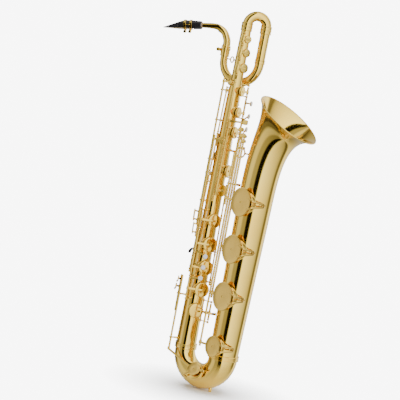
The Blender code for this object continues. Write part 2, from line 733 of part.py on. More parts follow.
def eye_bracket(name, z, rods, foot):
    """A bracket soldered at its foot, with an eye round each hinge tube."""
    pieces, eyes = eye_plate(z, rods, foot)
    part(name, BRASS, pieces, [join_loose(eyes)])


SIDE_RODS = {"side_b_flat_key": (-34.0, 435.0, 736.0), "high_e_key": (-54.0, 470.0, 905.0)}
SIDE_ROD_RADIUS = 36.0


def side_pivot(name):
    x, y, z = around(SIDE_RODS[name][0], SIDE_ROD_RADIUS)
    return (x, y)


def side_touch(pivot, angle, low, high, reach):
    """A long finger plate beside the hinge tube, held by two short arms."""
    outward = around(angle, 1.0)
    foot = Vector((pivot[0], pivot[1], 0.0))
    plate = bar(foot + outward * reach + Vector((0, 0, low)), foot + outward * (reach + 1.5) + Vector((0,
            0, high)),
                11.0, 2.6, outward.cross(Vector((0, 0, 1))))
    arms = [bar(foot + Vector((0, 0, z)), foot + outward * (reach + 0.8) + Vector((0, 0, z)), 5.0,
                ARM_THICK)
            for z in (low + 5.0, high - 5.0)]
    return [*arms, plate]


def build_side_keys():
    touches = {"side_b_flat_key": (-50.0, 442.0, 478.0, 11.0), "high_e_key": (-76.0, 478.0, 514.0, 12.0)}
    for name, (angle, low, high) in SIDE_RODS.items():
        pivot = side_pivot(name)
        body_key(name, pivot, (low, high), side_touch(pivot, *touches[name]))
    rib_angle, low, high = -44.0, 535.0, 875.0
    lift = GAP + 0.9
    pieces = [bar(around(rib_angle, body_radius(low) + lift, low), around(rib_angle,
                                                                          body_radius(high) + lift, high),
                  1.4, 6.0, around(rib_angle, 1.0))]
    eyes = []
    for z, names in ((543.0, list(SIDE_RODS)), (665.0, list(SIDE_RODS)), (780.0, ["high_e_key"]),
                     (868.0, ["high_e_key"])):
        plate, holes = eye_plate(z, [side_pivot(name) for name in names], around(rib_angle,
                body_radius(z) + lift, z))
        pieces += plate
        eyes += holes
    part("side_key_posts", BRASS, pieces, [join_loose(eyes)])


def build_palm_keys():
    pivot = tuple(around(26.0, 33.0))[:2]
    for name, low, high, reach in (("palm_d_key", 922.0, 958.0, 13.0), ("palm_e_flat_key", 967.0, 1000.0,
                                                                        12.0),
                                   ("palm_f_key", 1009.0, 1034.0, 11.0)):
        outward = around(0.0, 1.0)
        foot = Vector((pivot[0], pivot[1], 0.0))
        plate = bar(foot + outward * reach + Vector((0, 0, low + 1.0)),
                    foot + outward * (reach - 3.0) + Vector((0, 0, low + 25.0)), 12.0, 2.6, Vector((1.0,
                            0.0, 0.0)))
        arm = bar(foot + Vector((0, 0, low + 12.0)), foot + outward * (reach - 1.0) + Vector((0, 0,
                low + 12.0)),
                  6.0, ARM_THICK)
        body_key(name, pivot, (low, high), [arm, plate])
    rib_posts("palm_key_posts", 14.0, 5.0, pivot, (917.0, 962.5, 1004.5, 1039.0))


def build_octave_key():
    pivot = tuple(around(-120.0, 31.0))[:2]
    outward = around(-104.0, 1.0)
    foot = Vector((pivot[0], pivot[1], 0.0))
    plate = bar(foot + outward * 9.0 + Vector((0, 0, 702.0)), foot + outward * 7.0 + Vector((0, 0,
                                                                                             738.0)),
                17.0, 3.0, outward.cross(Vector((0, 0, 1))))
    arm = bar(foot + Vector((0, 0, 720.0)), foot + outward * 9.0 + Vector((0, 0, 720.0)), 6.0, ARM_THICK)
    body_key("octave_key", pivot, (700.0, 856.0), [arm, plate])
    build_low_a_lever(pivot)
    rib_posts("thumb_key_posts", -127.0, 5.0, pivot, (635.0, 695.0, 861.0))
    rest = around(-92.0, body_radius(676.0) + 0.4, 676.0)
    outward = around(-92.0, 1.0)
    profile = [(0.0, 9.0), (7.0, 8.6), (9.6, 7.0), (9.6, 4.0), (4.0, 2.5), (4.0, 0.0), (0.0, 0.0)]
    part("thumb_rest", BLACK, [turned(profile, rest, rest + outward, 20)])


def build_low_a_lever(pivot):
    """The left thumb's lever for low A, below the octave key."""
    outward = around(-140.0, 1.0)
    foot = Vector((pivot[0], pivot[1], 0.0))
    plate = bar(foot + outward * 12.0 + Vector((0, 0, 662.0)), foot + outward * 12.0 + Vector((0, 0,
                                                                                               688.0)),
                14.0, 3.0, outward.cross(Vector((0, 0, 1))))
    arm = bar(foot + Vector((0, 0, 674.0)), foot + outward * 12.0 + Vector((0, 0, 674.0)), 6.0, ARM_THICK)
    part("low_a_lever", BRASS, [hinge_tube(pivot, 640.0, 690.0), arm, plate], pivot=(*pivot, 665.0))


def build_bell_keys():
    """The four low keys on the bell, with their long hinge tubes between the body and the bell."""
    spans = {"low_a_key": (548.0, 700.0), "low_b_flat_key": (416.0, 758.0), "low_b_key": (278.0, 758.0),
             "low_c_sharp_key": (134.0, 772.0)}
    touches = {"low_b_flat_key": (100.0, 732.0, 742.0), "low_b_key": (100.0, 746.0, 756.0),
               "low_c_sharp_key": (86.0, 762.0, 774.0)}
    for name, (low, high) in spans.items():
        z, radius = BELL_HOLES[name]
        pivot = (BELL_RODS[name], BELL_ROD_Y)
        axis_point, facing = bell_facing(z)
        seat = bell_radius(z) + BELL_CHIMNEY + CLOSED_LIFT
        top = axis_point + facing * (seat + BELL_CUP_THICK + 0.6)
        elbow = Vector((pivot[0], pivot[1] - 8.0, z))
        pieces = [cup(axis_point, facing, seat, radius, BELL_CUP_THICK), hinge_tube(pivot, low, high),
                  bar((pivot[0], pivot[1], z), elbow - Vector((0, 1.4, 0)), ARM_WIDTH, ARM_THICK),
                  bar(elbow, top + (top - elbow).normalized() * 4.0, ARM_WIDTH, ARM_THICK)]
        if name in touches:
            pieces += table_touch(pivot, *touches[name])
        part(name, BRASS, pieces, pivot=(*pivot, z), swing=open_swing(pivot, axis_point, facing))


def table_touch(pivot, right, low, high):
    """A plate of the little finger's table, out in front of the long hinge tubes."""
    front = BELL_ROD_Y - 13.0
    middle = (low + high) / 2
    return [bar((pivot[0], pivot[1], middle - 4.0), (pivot[0], front, middle - 4.0), 5.0, ARM_THICK),
            bar((pivot[0] - 1.4, front, middle - 1.0), (right + 6.0, front, middle), high - low, 3.0)]


def build_rod_brackets():
    rods = {name: (x, BELL_ROD_Y) for name, x in BELL_RODS.items()}
    order = ["low_a_key", "low_c_sharp_key", "low_b_key", "low_b_flat_key"]
    for name, z, first in (("bell_rod_bracket_top", 716.0, 1), ("bell_rod_bracket_middle", 610.0, 0)):
        foot = around(-62.0, bell_radius(z) + 0.9 if z < 600.0 else bell_bracket_reach(z), z, (bell_x(z),
                                                                                               0.0))
        eye_bracket(name, z, [rods[key] for key in order[first:]], foot)
    foot = around(-62.0, bell_radius(230.0) + 2.6, 230.0, (bell_x(230.0), 0.0))
    eye_bracket("bell_rod_bracket_low", 230.0, [rods["low_c_sharp_key"]], foot)


def bell_bracket_reach(z):
    """How far from the straight bell's axis a bracket's foot stays where the bell begins to open."""
    return BELL_RADIUS_STRAIGHT + 1.5 + 9.0 * max(0.0, (z - 600.0) / 120.0) ** 2


def build_g_sharp_key():
    pivot = G_SHARP_ROD
    plate = [bar((*pivot, 784.0), (80.0, -56.0, 788.0), 6.0, ARM_THICK),
             bar((78.0, -56.0, 789.0), (98.0, -60.0, 790.0), 15.0, 3.0)]
    body_key("g_sharp_key", pivot, (566.0, 790.0), plate)


def build_guards():
    for name, (z, cup_radius) in BELL_HOLES.items():
        axis_point, facing = bell_facing(z)
        across = facing.cross(Vector((0, 0, 1))) * -1.0
        small = cup_radius < 30.0
        height, width = (31.0, 26.0) if small else (42.0, 33.0)
        base = axis_point + facing * (bell_radius(z) + GUARD_RISE)
        plate = turned([(0.0, GUARD_THICK), (0.94, GUARD_THICK), (1.0, GUARD_THICK * 0.6), (1.0, 0.0),
                        (0.0, 0.0)],
                       base, base + facing, 20)
        stretch(plate, base, across, width, height)
        screw = rod(base - facing * 1.0, base + facing * (GUARD_THICK + 1.0), 1.6, 8)
        foot_centre = (bell_x(z), 0.0)
        legs = []
        for sign in (-1.0, 1.0):
            level = base + facing * (GUARD_THICK / 2)
            route = [level + across * (width * 0.8) + Vector((0, 0, sign * height * 0.45)),
                     level + across * (cup_radius + 4.5) + Vector((0, 0, sign * 9.0)),
                     around(50.0, bell_radius(z) + 3.2, z + sign * 2.0, foot_centre)]
            legs += [bar(route[0], route[1], 5.0, 2.2), bar(route[1], route[2], 5.0, 2.2)]
        foot = bar(around(46.0, bell_radius(z) + 4.0, z, foot_centre),
                   around(62.0, bell_radius(z) + 2.2, z, foot_centre), 9.0, 2.2)
        part(name.replace("_key", "_guard"), BRASS, [plate, *legs, foot], [screw])


def stretch(obj, centre, across, width, height):
    """Scales a plate turned with unit radius to an oval: this half width across, this half height along Z."""
    turn = Matrix((across, across.cross(Vector((0, 0, 1))), Vector((0, 0, 1)))).transposed().to_4x4()
    grow = Matrix.Diagonal((width, 1.0, height, 1.0))
    move = Matrix.Translation(centre)
    obj.data.transform(move @ turn @ grow @ turn.inverted() @ move.inverted())


def build_low_c():
    pivot = (-33.0, -38.0)
    axis_point, facing, seat = low_c_seat()
    seat += CLOSED_LIFT
    top = axis_point + facing * (seat + CUP_THICK + 0.6)
    elbow = Vector((pivot[0], top.y - 1.0, 100.0))
    pieces = [cup(axis_point, facing, seat, LOW_C_HOLE[1], CUP_THICK), hinge_tube(pivot, 94.0, 318.0),
              bar((pivot[0], pivot[1], 100.0), elbow - Vector((0, 1.4, 0)), ARM_WIDTH, ARM_THICK),
              bar(elbow, top + (top - elbow).normalized() * 3.0, ARM_WIDTH, ARM_THICK),
              *roller_touch(pivot, 306.0, -62.0)]
    part("low_c_key", BRASS, pieces, pivot=(*pivot, 200.0), swing=open_swing(pivot, axis_point, facing))
    base = axis_point + facing * (seat + OPEN_LIFT + CUP_THICK + LOW_C_GUARD_LIFT)
    upward = Vector((0.0, math.sin(LOW_C_TILT), math.cos(LOW_C_TILT)))
    feet = []
    for side, rise in ((-25.0, -23.0), (32.0, 3.0)):
        shoulder = base + facing + Vector((side, 0.0, 0.0)) + upward * rise
        feet += [bar(base + facing, shoulder + (shoulder - base).normalized() * 1.2, 7.0, 2.0),
                 bar(shoulder + facing * 1.0, shoulder - facing * 30.0, 7.0, 2.4, upward)]
    screw = rod(base - facing, base + facing * 3.0, 1.8, 8)
    part("low_c_guard", BRASS, [rod(base, base + facing * 2.0, 19.0, 20), *feet],
         [core(*cleared_bow(), 16), screw])


def cleared_bow():
    """The bow's outside with a gap round it, to trim what is soldered on it."""
    points, radii = bow_points(BOW_STEPS)
    return points, [radius + 0.5 for radius in radii]


def roller_touch(pivot, z, angle):
    """A little-finger plate with a roller along its edge."""
    outward = around(angle, 1.0)
    foot = Vector((pivot[0], pivot[1], z))
    across = outward.cross(Vector((0, 0, 1)))
    return [bar(foot, foot + outward * 12.0, 6.0, ARM_THICK),
            bar(foot + outward * 11.0 - Vector((0, 0, 8.0)), foot + outward * 11.0 + Vector((0, 0, 8.0)),
                14.0, 3.0,
                across),
            rod(foot + outward * 12.5 - across * 7.0 - Vector((0, 0, 8.0)),
                foot + outward * 12.5 + across * 7.0 - Vector((0, 0, 8.0)), 2.6, 10)]


def build_e_flat():
    pivot = (51.0, 10.0)
    body_key("e_flat_key", pivot, (200.0, 250.0))
    rib_posts("e_flat_posts", 112.0, 6.0, pivot, (195.0, 255.0))
    lever = (-41.0, -30.0)
    pieces = [hinge_tube(lever, 210.0, 318.0), *roller_touch(lever, 282.0, -70.0)]
    part("e_flat_lever", BRASS, pieces, pivot=(*lever, 270.0))
    rib_angle, low, high = -45.0, 126.0, 268.0
    lift = GAP + 0.9
    pieces = [bar(around(rib_angle, body_radius(low) + lift, low), around(rib_angle,
                                                                          body_radius(high) + lift, high),
                  1.4, 6.0, around(rib_angle, 1.0))]
    eyes = []
    for z, rods in ((132.0, [(-33.0, -38.0)]), (262.0, [(-33.0, -38.0), lever])):
        plate, holes = eye_plate(z, rods, around(rib_angle, body_radius(z) + lift, z))
        pieces += plate
        eyes += holes
    part("bow_key_posts", BRASS, pieces, [join_loose(eyes)])


def build_fittings():
    """Braces, hooks and the like, soldered to the tubes."""
    z = 700.0
    left, right = body_radius(z) + 0.4, bell_x(560.0) - BELL_RADIUS_STRAIGHT + 3.0
    middle = Vector((58.0, 0.0, z))
    across = Vector((1.0, 0.0, 0.0))
    eye, holes = eye_plate(z, [G_SHARP_ROD], middle - across * 14.0)
    part("bell_brace", BRASS, [torus(middle, (0, 1, 0), 14.0, 2.6, 16, 6), rod(middle - across * 13.0,
                                                                               (left, 0, z), 3.0),
                               rod(middle + across * 13.0, (right, 0, z), 3.0), *eye], holes)
    start, end = Vector((RECEIVER_X, CROOK_Y, 958.0)), Vector((0.0, 0.0, 958.0))
    along = (end - start).normalized()
    middle = (start + end) / 2
    part("crook_brace", BRASS, [torus(middle, along.cross(Vector((0, 0, 1))), 8.0, 2.0, 12, 6),
                                rod(middle - along * 9.0, start + along * 11.8, 2.4, 8),
                                rod(middle + along * 9.0, end - along * (body_radius(958.0) + 0.5), 2.4,
                                    8)])
    build_strap_ring()
    z = 395.0
    hook_foot = around(-100.0, body_radius(z) + 0.8, z)
    outward = around(-100.0, 1.0)
    hook = wire(smooth_path([tuple(hook_foot + outward * 1.5),
                             tuple(hook_foot + outward * 11.0 + Vector((0, 0, 2.0))),
                             tuple(hook_foot + outward * 24.0 - Vector((0, 0, 4.0))),
                             tuple(hook_foot + outward * 29.0 - Vector((0, 0, 15.0)))], 3), 4.2, 10)
    plate = bar(hook_foot + outward * 1.2 - Vector((0, 0, 12.0)), hook_foot + outward * 1.2 + Vector((0,
            0, 12.0)),
                9.0, 2.0, outward.cross(Vector((0, 0, 1))))
    part("thumb_hook", BLACK, [plate, hook])


def build_strap_ring():
    z = ORIGIN.z
    eye = Vector((ORIGIN.x, ORIGIN.y, z))
    plate_x = -(body_radius(z) + 1.4)
    plate = bar((plate_x, 0.0, z - 14.0), (plate_x, 0.0, z + 14.0), 12.0, 1.8, Vector((0.0, 1.0, 0.0)))
    lug = rod((eye.x, 0.0, z - 2.0), (eye.x, 0.0, z + 2.0), 5.2, 14)
    hole = rod((eye.x, 0.0, z - 3.0), (eye.x, 0.0, z + 3.0), 2.5, 14)
    part("strap_eye", BRASS, [plate, lug], [hole])
    part("strap_ring", SILVER, [torus(eye + Vector((-9.0, 0.0, 0.0)), (0, 1, 0), 9.0, 1.5, 20, 6)],
         pivot=tuple(eye))


def build_water_key():
    pivot = water_key_pivot()
    across = Vector((0.0, 1.0, 0.0))
    lever = [rod(pivot - across * 3.2, pivot + across * 3.2, 1.9, 8),
             bar(pivot, pivot + Vector((14.0, 0, -0.5)), 4.0, 2.0, across),
             bar(pivot, pivot + Vector((-16.0, 0, -5.0)), 6.0, 2.0, across),
             rod(pivot + Vector((14.0, 0, -1.5)), pivot + Vector((14.0, 0, 3.2)), 3.6, 12)]
    part("water_key", BRASS, lever, pivot=tuple(pivot))


clear_scene()
PARTS = new_collection(OBJECT, False)
GUIDES = new_collection("guides", True)
build_body_tube()
build_bottom_bow()
build_bell()
build_bow_ring()
build_crook()
build_top_bow()
build_receiver()
build_neck()
build_mouthpiece()
build_lower_stack()
build_upper_stack()
build_side_keys()
build_palm_keys()
build_octave_key()
build_bell_keys()
build_rod_brackets()
build_g_sharp_key()
build_guards()
build_low_c()
build_e_flat()
build_fittings()
build_water_key()
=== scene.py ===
"""Looks of the baritone saxophone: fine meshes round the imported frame, materials, light and camera.

Shapes are drawn in bench millimetres, as the saxophone stands on its bow: Z is the axis of the body
tube, +X points to the bell and -Y is the player's right side. ROW takes them to the frame's metres.
"""
import json
import math

import bmesh
import bpy
from mathutils import Matrix, Vector
from mathutils.geometry import interpolate_bezier


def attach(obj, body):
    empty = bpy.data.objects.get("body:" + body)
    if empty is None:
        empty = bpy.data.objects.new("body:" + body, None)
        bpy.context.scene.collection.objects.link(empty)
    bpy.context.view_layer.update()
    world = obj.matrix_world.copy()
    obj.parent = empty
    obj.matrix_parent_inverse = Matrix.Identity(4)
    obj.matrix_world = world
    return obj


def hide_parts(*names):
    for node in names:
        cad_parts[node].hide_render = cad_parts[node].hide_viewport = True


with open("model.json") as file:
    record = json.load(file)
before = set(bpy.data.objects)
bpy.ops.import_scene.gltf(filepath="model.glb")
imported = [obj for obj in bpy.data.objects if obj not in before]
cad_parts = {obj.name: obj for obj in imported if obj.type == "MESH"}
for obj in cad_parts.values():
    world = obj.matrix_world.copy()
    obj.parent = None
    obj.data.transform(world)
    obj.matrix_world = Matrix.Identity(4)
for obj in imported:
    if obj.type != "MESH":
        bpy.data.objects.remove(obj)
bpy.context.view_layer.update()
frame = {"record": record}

RECORD = frame["record"]
JOINTS = {joint["name"]: joint for joint in RECORD["behaviour"]["joints"]}
BODY_OF = {node: body for body, nodes in RECORD["behaviour"]["bodies"].items() for node in nodes}

MM = 0.001
ORIGIN = Vector((-27.0, 0.0, 622.0))
ROW = Matrix.Scale(MM, 4) @ Matrix.Translation(-ORIGIN)
UP = Vector((0.0, 0.0, 1.0))
EAST = Vector((1.0, 0.0, 0.0))
NORTH = Vector((0.0, 1.0, 0.0))

# Air way, as the frame has it
WALL = 0.8
SEAM = 112.0
BODY_LOW, BODY_HIGH = 105.0, 1062.0
BODY_RADIUS_LOW, BODY_RADIUS_HIGH = 29.4, 14.4
BOW_BEND = 65.0
BOW_RADIUS_BODY, BOW_RADIUS_BELL = 29.4, 42.0
BELL_CONTROL = ((136.2, 560.0), (138.5, 670.0), (141.0, 742.0), (192.5, 820.0))
BELL_RADIUS_STRAIGHT = 50.0
FLARE_THROAT, FLARE_RIM = 12.0, 37.0                     # growth of the radius along the flare
CROOK_X, CROOK_Y, RECEIVER_X = 44.0, 35.0, -77.0
CROOK_BEND_HEIGHT = 957.0
CROOK_RADIUS_LOW, CROOK_RADIUS_HIGH, TOP_BOW_RADIUS = 11.0, 13.6, 14.2
RECEIVER_LOW, RECEIVER_HIGH = 964.0, 988.0
BELL_BRACE_HEIGHT, CROOK_BRACE_HEIGHT = 700.0, 958.0
NECK_TURN = math.radians(20.0)
NECK_STATIONS = ((0.0, 966.0, 11.2), (0.0, 1000.0, 11.2), (3.5, 1016.0, 10.8), (14.0, 1033.0, 10.0),
                 (30.0, 1042.5, 9.2), (48.0, 1044.5, 8.5), (83.0, 1040.5, 7.3), (112.0, 1036.4, 6.8))
MOUTHPIECE_LENGTH = 116.0
TABLE_OUT, BEAK_OUT, CHEEK_OUT = 24.0, 51.0, 70.0        # where the flat, the slope and the cheeks start
TABLE_LEVEL, BEAK_LEVEL, BEAK_DROP = -10.3, 13.3, 22.6
REED_OUT, REED_SHOULDER, REED_LEVEL, REED_HALF = 38.0, 68.0, -10.7, 8.1

# Keywork
HINGE = 3.1
CUP_THICK, BELL_CUP_THICK = 4.6, 4.4
CHIMNEY, BELL_CHIMNEY = 4.0, 5.0
CUP_LAP = 2.5
OPEN_LIFT, CLOSED_LIFT = 3.5, 0.35
SIDE_TURN = math.radians(-6.0)
GUARD_RISE, GUARD_THICK = 19.8, 1.8
LOW_C_CHIMNEY = 7.0
LOW_C_HOLE = (72.0, 26.0)
LOW_C_TILT = math.radians(24.0)
LOW_C_GUARD_LIFT = 6.6
PEARL_RADIUS = 7.6
SMALL_CUP = 14.0                                         # cups no wider than this have no resonator
STACK_HOLES = {
    "f_sharp_key": (56.0, 491.0, 20.0), "f_key": (56.0, 421.0, 22.0), "e_key": (56.0, 352.0, 22.0),
    "d_key": (56.0, 287.0, 22.0), "g_key": (84.0, 640.0, 18.0), "a_key": (84.0, 752.0, 17.5),
    "b_key": (84.0, 811.0, 16.5), "c_key": (84.0, 873.0, 15.5)}
SIDE_HOLES = {"g_sharp_key": (70.0, 581.0, 18.0), "e_flat_key": (47.0, 224.0, 22.0),
              "side_b_flat_key": (8.0, 725.0, 11.0), "high_e_key": (-22.0, 893.0, 9.0),
              "palm_d_key": (72.0, 939.0, 14.0), "palm_e_flat_key": (72.0, 983.0, 12.0),
              "palm_f_key": (60.0, 1022.0, 11.0), "octave_key": (-150.0, 845.0, 5.0)}
BELL_HOLES = {
    "low_a_key": (568.0, 36.0), "low_b_flat_key": (431.0, 36.0), "low_b_key": (293.0, 36.0),
    "low_c_sharp_key": (146.0, 28.0)}


# ---------------------------------------------------------------- shapes: (vertices, faces) on the bench

def around(angle, radius, z=0.0, centre=(0.0, 0.0)):
    """A bench point at this angle from -Y towards +X, round an upright axis through centre."""
    turn = math.radians(angle)
    return Vector((centre[0] + radius * math.sin(turn), centre[1] - radius * math.cos(turn), z))


def frame_along(start, end, up=UP):
    """A matrix at start whose Z runs to end and whose Y stays as near to up as it can."""
    along = (Vector(end) - Vector(start)).normalized()
    side = up.cross(along)
    if side.length < 1e-6:
        side = EAST.copy()
    side.normalize()
    turn = Matrix((side, along.cross(side), along)).transposed().to_4x4()
    return Matrix.Translation(start) @ turn


def turns(steps):
    """The angles of this many equal steps round a circle."""
    return [2 * math.pi * n / steps for n in range(steps)]


def circle(centre, side, other, radius, steps):
    """Points round a circle whose plane holds both directions."""
    return [centre + (side * math.cos(t) + other * math.sin(t)) * radius for t in turns(steps)]


def mixed(start, end, share):
    return start + (end - start) * share


def joined(shapes):
    vertices, faces = [], []
    for shape_vertices, shape_faces in shapes:
        first = len(vertices)
        vertices += shape_vertices
        faces += [[first + corner for corner in face] for face in shape_faces]
    return vertices, faces


def loft(rings, closed=False, caps=True):
    """Faces between rings of points; a ring of one point is a pole."""
    vertices, starts, faces = [], [], []
    for ring in rings:
        starts.append(len(vertices))
        vertices += ring
    pairs = list(zip(range(len(rings)), range(1, len(rings))))
    if closed:
        pairs.append((len(rings) - 1, 0))
    for low, high in pairs:
        a, b = starts[low], starts[high]
        steps = max(len(rings[low]), len(rings[high]))
        for n in range(steps):
            m = (n + 1) % steps
            if len(rings[low]) == 1:
                faces.append([a, b + n, b + m])
            elif len(rings[high]) == 1:
                faces.append([a + m, b, a + n][::-1])
            else:
                faces.append([a + n, b + n, b + m, a + m])
    if caps and not closed:
        for index in (0, len(rings) - 1):
            if len(rings[index]) > 2:
                faces.append([starts[index] + n for n in range(len(rings[index]))])
    return vertices, faces


def lathe(profile, base, tip, steps=40):
    """A shape turned round the line from base to tip; profile is (radius, height), closed if it returns."""
    profile = list(profile)
    closed = profile[0] == profile[-1] and profile[0][0] > 0.0
    if closed:
        profile.pop()
    place = frame_along(base, tip)
    rings = []
    for radius, height in profile:
        if radius < 1e-6:
            rings.append([place @ Vector((0.0, 0.0, height))])
        else:
            rings.append([place @ Vector((radius * math.cos(t), radius * math.sin(t), height))
                          for t in turns(steps)])
    return loft(rings, closed)


def mirrored(lower):
    """A closed profile from its lower half, which starts at the inner edge."""
    return [*lower, *((radius, -height) for radius, height in lower[::-1]), lower[0]]


def collar(profile, middle, along=UP, steps=28):
    """A ring turned round its own middle."""
    return lathe(profile, middle, middle + along, steps)


def rod(start, end, radius, steps=16, edge=0.35):
    """A cylinder with a small round on its edges."""
    start, end = Vector(start), Vector(end)
    length = (end - start).length
    edge = min(edge, radius * 0.4, length * 0.3)
    profile = [(0.0, 0.0), (radius - edge, 0.0), (radius - edge * 0.3, edge * 0.3), (radius, edge),
               (radius, length - edge), (radius - edge * 0.3, length - edge * 0.3), (radius - edge, length),
               (0.0, length)]
    return lathe(profile, start, end, steps)


def torus(centre, axis, major, minor, steps=64, sides=14):
    centre = Vector(centre)
    profile = [(major + minor * math.cos(turn), minor * math.sin(turn)) for turn in turns(sides)]
    return lathe([*profile, profile[0]], centre, centre + Vector(axis).normalized(), steps)


def frames(points, start_side=None):
    """At each point: (point, side, other side), carried along the path without twist."""
    points = [Vector(point) for point in points]
    count = len(points)
    tangents = []
    for n in range(count):
        ahead, behind = points[min(n + 1, count - 1)], points[max(n - 1, 0)]
        tangents.append((ahead - behind).normalized())
    side = Vector(start_side) if start_side is not None else tangents[0].orthogonal()
    found = []
    for point, tangent in zip(points, tangents):
        side = (side - tangent * side.dot(tangent)).normalized()
        found.append((point, side, tangent.cross(side)))
    return found


def tube(points, radii, sides=48, wall=None, side=None):
    """A tube along the points; with a wall it is open at both ends, without one it is solid."""
    def sections(shrink):
        return [circle(point, across, other, radius - shrink, sides)
                for (point, across, other), radius in zip(frames(points, side), radii)]
    outer = sections(0.0)
    if wall is None:
        return loft(outer)
    return loft([*outer, *sections(wall)[::-1]], closed=True)


def superellipse(power, sides):
    """Unit points round a rounded box."""
    found = []
    for n in range(sides):
        turn = 2 * math.pi * (n + 0.5) / sides
        c, s = math.cos(turn), math.sin(turn)
        found.append((math.copysign(abs(c) ** (2 / power), c), math.copysign(abs(s) ** (2 / power), s)))
    return found


def arm(points, widths, thicks, across=UP, sides=20, power=3.6):
    """A flat bar with rounded edges along a path; widths lie near to across. Its ends are rounded in."""
    points = [Vector(point) for point in points]
    outline = superellipse(power, sides)
    rings = []
    last = len(points) - 1
    for n, point in enumerate(points):
        tangent = (points[min(n + 1, last)] - points[max(n - 1, 0)]).normalized()
        wide = (across - tangent * across.dot(tangent)).normalized()
        thick = tangent.cross(wide)
        ring = [point + wide * (u * widths[n] / 2) + thick * (v * thicks[n] / 2) for u, v in outline]
        if n == 0:
            rings.append([point - tangent * 0.5 + (corner - point) * 0.75 for corner in ring])
        rings.append(ring)
        if n == last:
            rings.append([point + tangent * 0.5 + (corner - point) * 0.75 for corner in ring])
    return loft(rings)


def plate(centre, right, upward, half_width, half_height, thick, power=2.6, crown=0.0, sides=48):
    """A flat plate with rounded edges, grown from centre along the normal; crown lifts its middle."""
    right, upward = Vector(right).normalized(), Vector(upward).normalized()
    normal = right.cross(upward)
    outline = superellipse(power, sides)
    round_in = min(0.7, thick * 0.35)
    levels = ((0.0, -round_in), (thick * 0.18, -round_in * 0.3), (thick * 0.4, 0.0), (thick * 0.6, 0.0),
              (thick * 0.84, -round_in * 0.3), (thick, -round_in))
    rings = [[Vector(centre)]]
    for height, inset in levels:
        rings.append([centre + right * (u * (half_width + inset)) + upward * (v * (half_height + inset))
                      + normal * height for u, v in outline])
    if crown:
        for share in (0.75, 0.45, 0.15):
            rings.append([centre + right * (u * half_width * share) + upward * (v * half_height * share)
                          + normal * (thick + crown * (1 - share * share)) for u, v in outline])
    rings.append([centre + normal * (thick + crown)])
    return loft(rings)


def smooth_path(points, count):
    """Points along a smooth curve through the given ones, each a tuple of any length."""
    ends = [points[0], *points, points[-1]]
    found = []
    for n in range(len(points) - 1):
        before, start, end, after = (Vector(p) for p in ends[n:n + 4])
        for step in range(count):
            t = step / count
            found.append(0.5 * (2 * start + (end - before) * t
                                + (2 * before - 5 * start + 4 * end - after) * t * t
                                + (3 * start - before - 3 * end + after) * t ** 3))
    found.append(Vector(points[-1]))
    return found


def bent_arm(points, wide, thin, thick=(3.0, 2.4), across=UP, count=5):
    """An arm along a smooth path that tapers from wide to thin."""
    path = smooth_path([tuple(point) for point in points], count)
    shares = [n / (len(path) - 1) for n in range(len(path))]
    return arm(path, [wide + (thin - wide) * s for s in shares],
               [thick[0] + (thick[1] - thick[0]) * s for s in shares], across)


def turned_by(shape, pivot, swing):
    """The shape turned about an upright axis through the pivot."""
    turn = Matrix.Translation(pivot) @ Matrix.Rotation(swing, 4, "Z") @ Matrix.Translation(-Vector(pivot))
    return [turn @ Vector(vertex) for vertex in shape[0]], shape[1]


# ---------------------------------------------------------------- pieces

def piece(name, body, look, shapes, nodes=()):
    """One named visual piece that rides on a CAD body and stands for these CAD nodes."""
    vertices, faces = joined(shapes)
    mesh = bpy.data.meshes.new(name)
    mesh.from_pydata([ROW @ Vector(vertex) for vertex in vertices], [], faces)
    shape = bmesh.new()
    shape.from_mesh(mesh)
    bmesh.ops.remove_doubles(shape, verts=shape.verts, dist=1e-7)
    bmesh.ops.recalc_face_normals(shape, faces=shape.faces)
    shape.to_mesh(mesh)
    shape.free()
    mesh.shade_smooth()
    mesh.set_sharp_from_angle(angle=SHARP_ANGLE)
    obj = bpy.data.objects.new(name, mesh)
    bpy.context.scene.collection.objects.link(obj)
    mesh.materials.append(look)
    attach(obj, body)
    if nodes:
        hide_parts(*nodes)
    return obj


def pivot_of(joint):
    """A joint's place on the bench."""
    return Vector(JOINTS[joint]["pos_m"]) / MM + ORIGIN


def at_height(pivot, z):
    """The point of an upright hinge line at this height."""
    return Vector((pivot[0], pivot[1], z))


def rod_place(key):
    """Where a key's upright hinge line stands, as x and y."""
    return tuple(pivot_of(key + "_pivot"))[:2]


# ---------------------------------------------------------------- materials

GRAIN_DETAIL, GRAIN_ROUGHNESS = 6.0, 0.65
SHARP_ANGLE = math.radians(38.0)


def new_look(name, metallic, coat=0.0, coat_roughness=0.05, sheen=0.0):
    """A material with its shader, its node tree and a coordinate source."""
    made = bpy.data.materials.new(name)
    made.use_nodes = True
    tree = made.node_tree
    shader = tree.nodes["Principled BSDF"]
    shader.inputs["Metallic"].default_value = metallic
    shader.inputs["Coat Weight"].default_value = coat
    shader.inputs["Coat Roughness"].default_value = coat_roughness
    shader.inputs["Sheen Weight"].default_value = sheen
    where = tree.nodes.new("ShaderNodeTexCoord")
    return made, tree, shader, where.outputs["Object"]


def wired(tree, kind, values=(), links=()):
    """A new node with these input values, and with these outputs linked to its inputs."""
    node = tree.nodes.new("ShaderNode" + kind)
    for name, value in values:
        node.inputs[name].default_value = value
    for name, source in links:
        tree.links.new(source, node.inputs[name])
    return node


def stretched(tree, where, scale):
    """The coordinates scaled unevenly, for streaks and grain."""
    return wired(tree, "Mapping", [("Scale", scale)], [("Vector", where)]).outputs["Vector"]


def noise(tree, where, scale, detail=4.0, roughness=0.55):
    values = (("Scale", scale), ("Detail", detail), ("Roughness", roughness))
    return wired(tree, "TexNoise", values, [("Vector", where)]).outputs["Fac"]


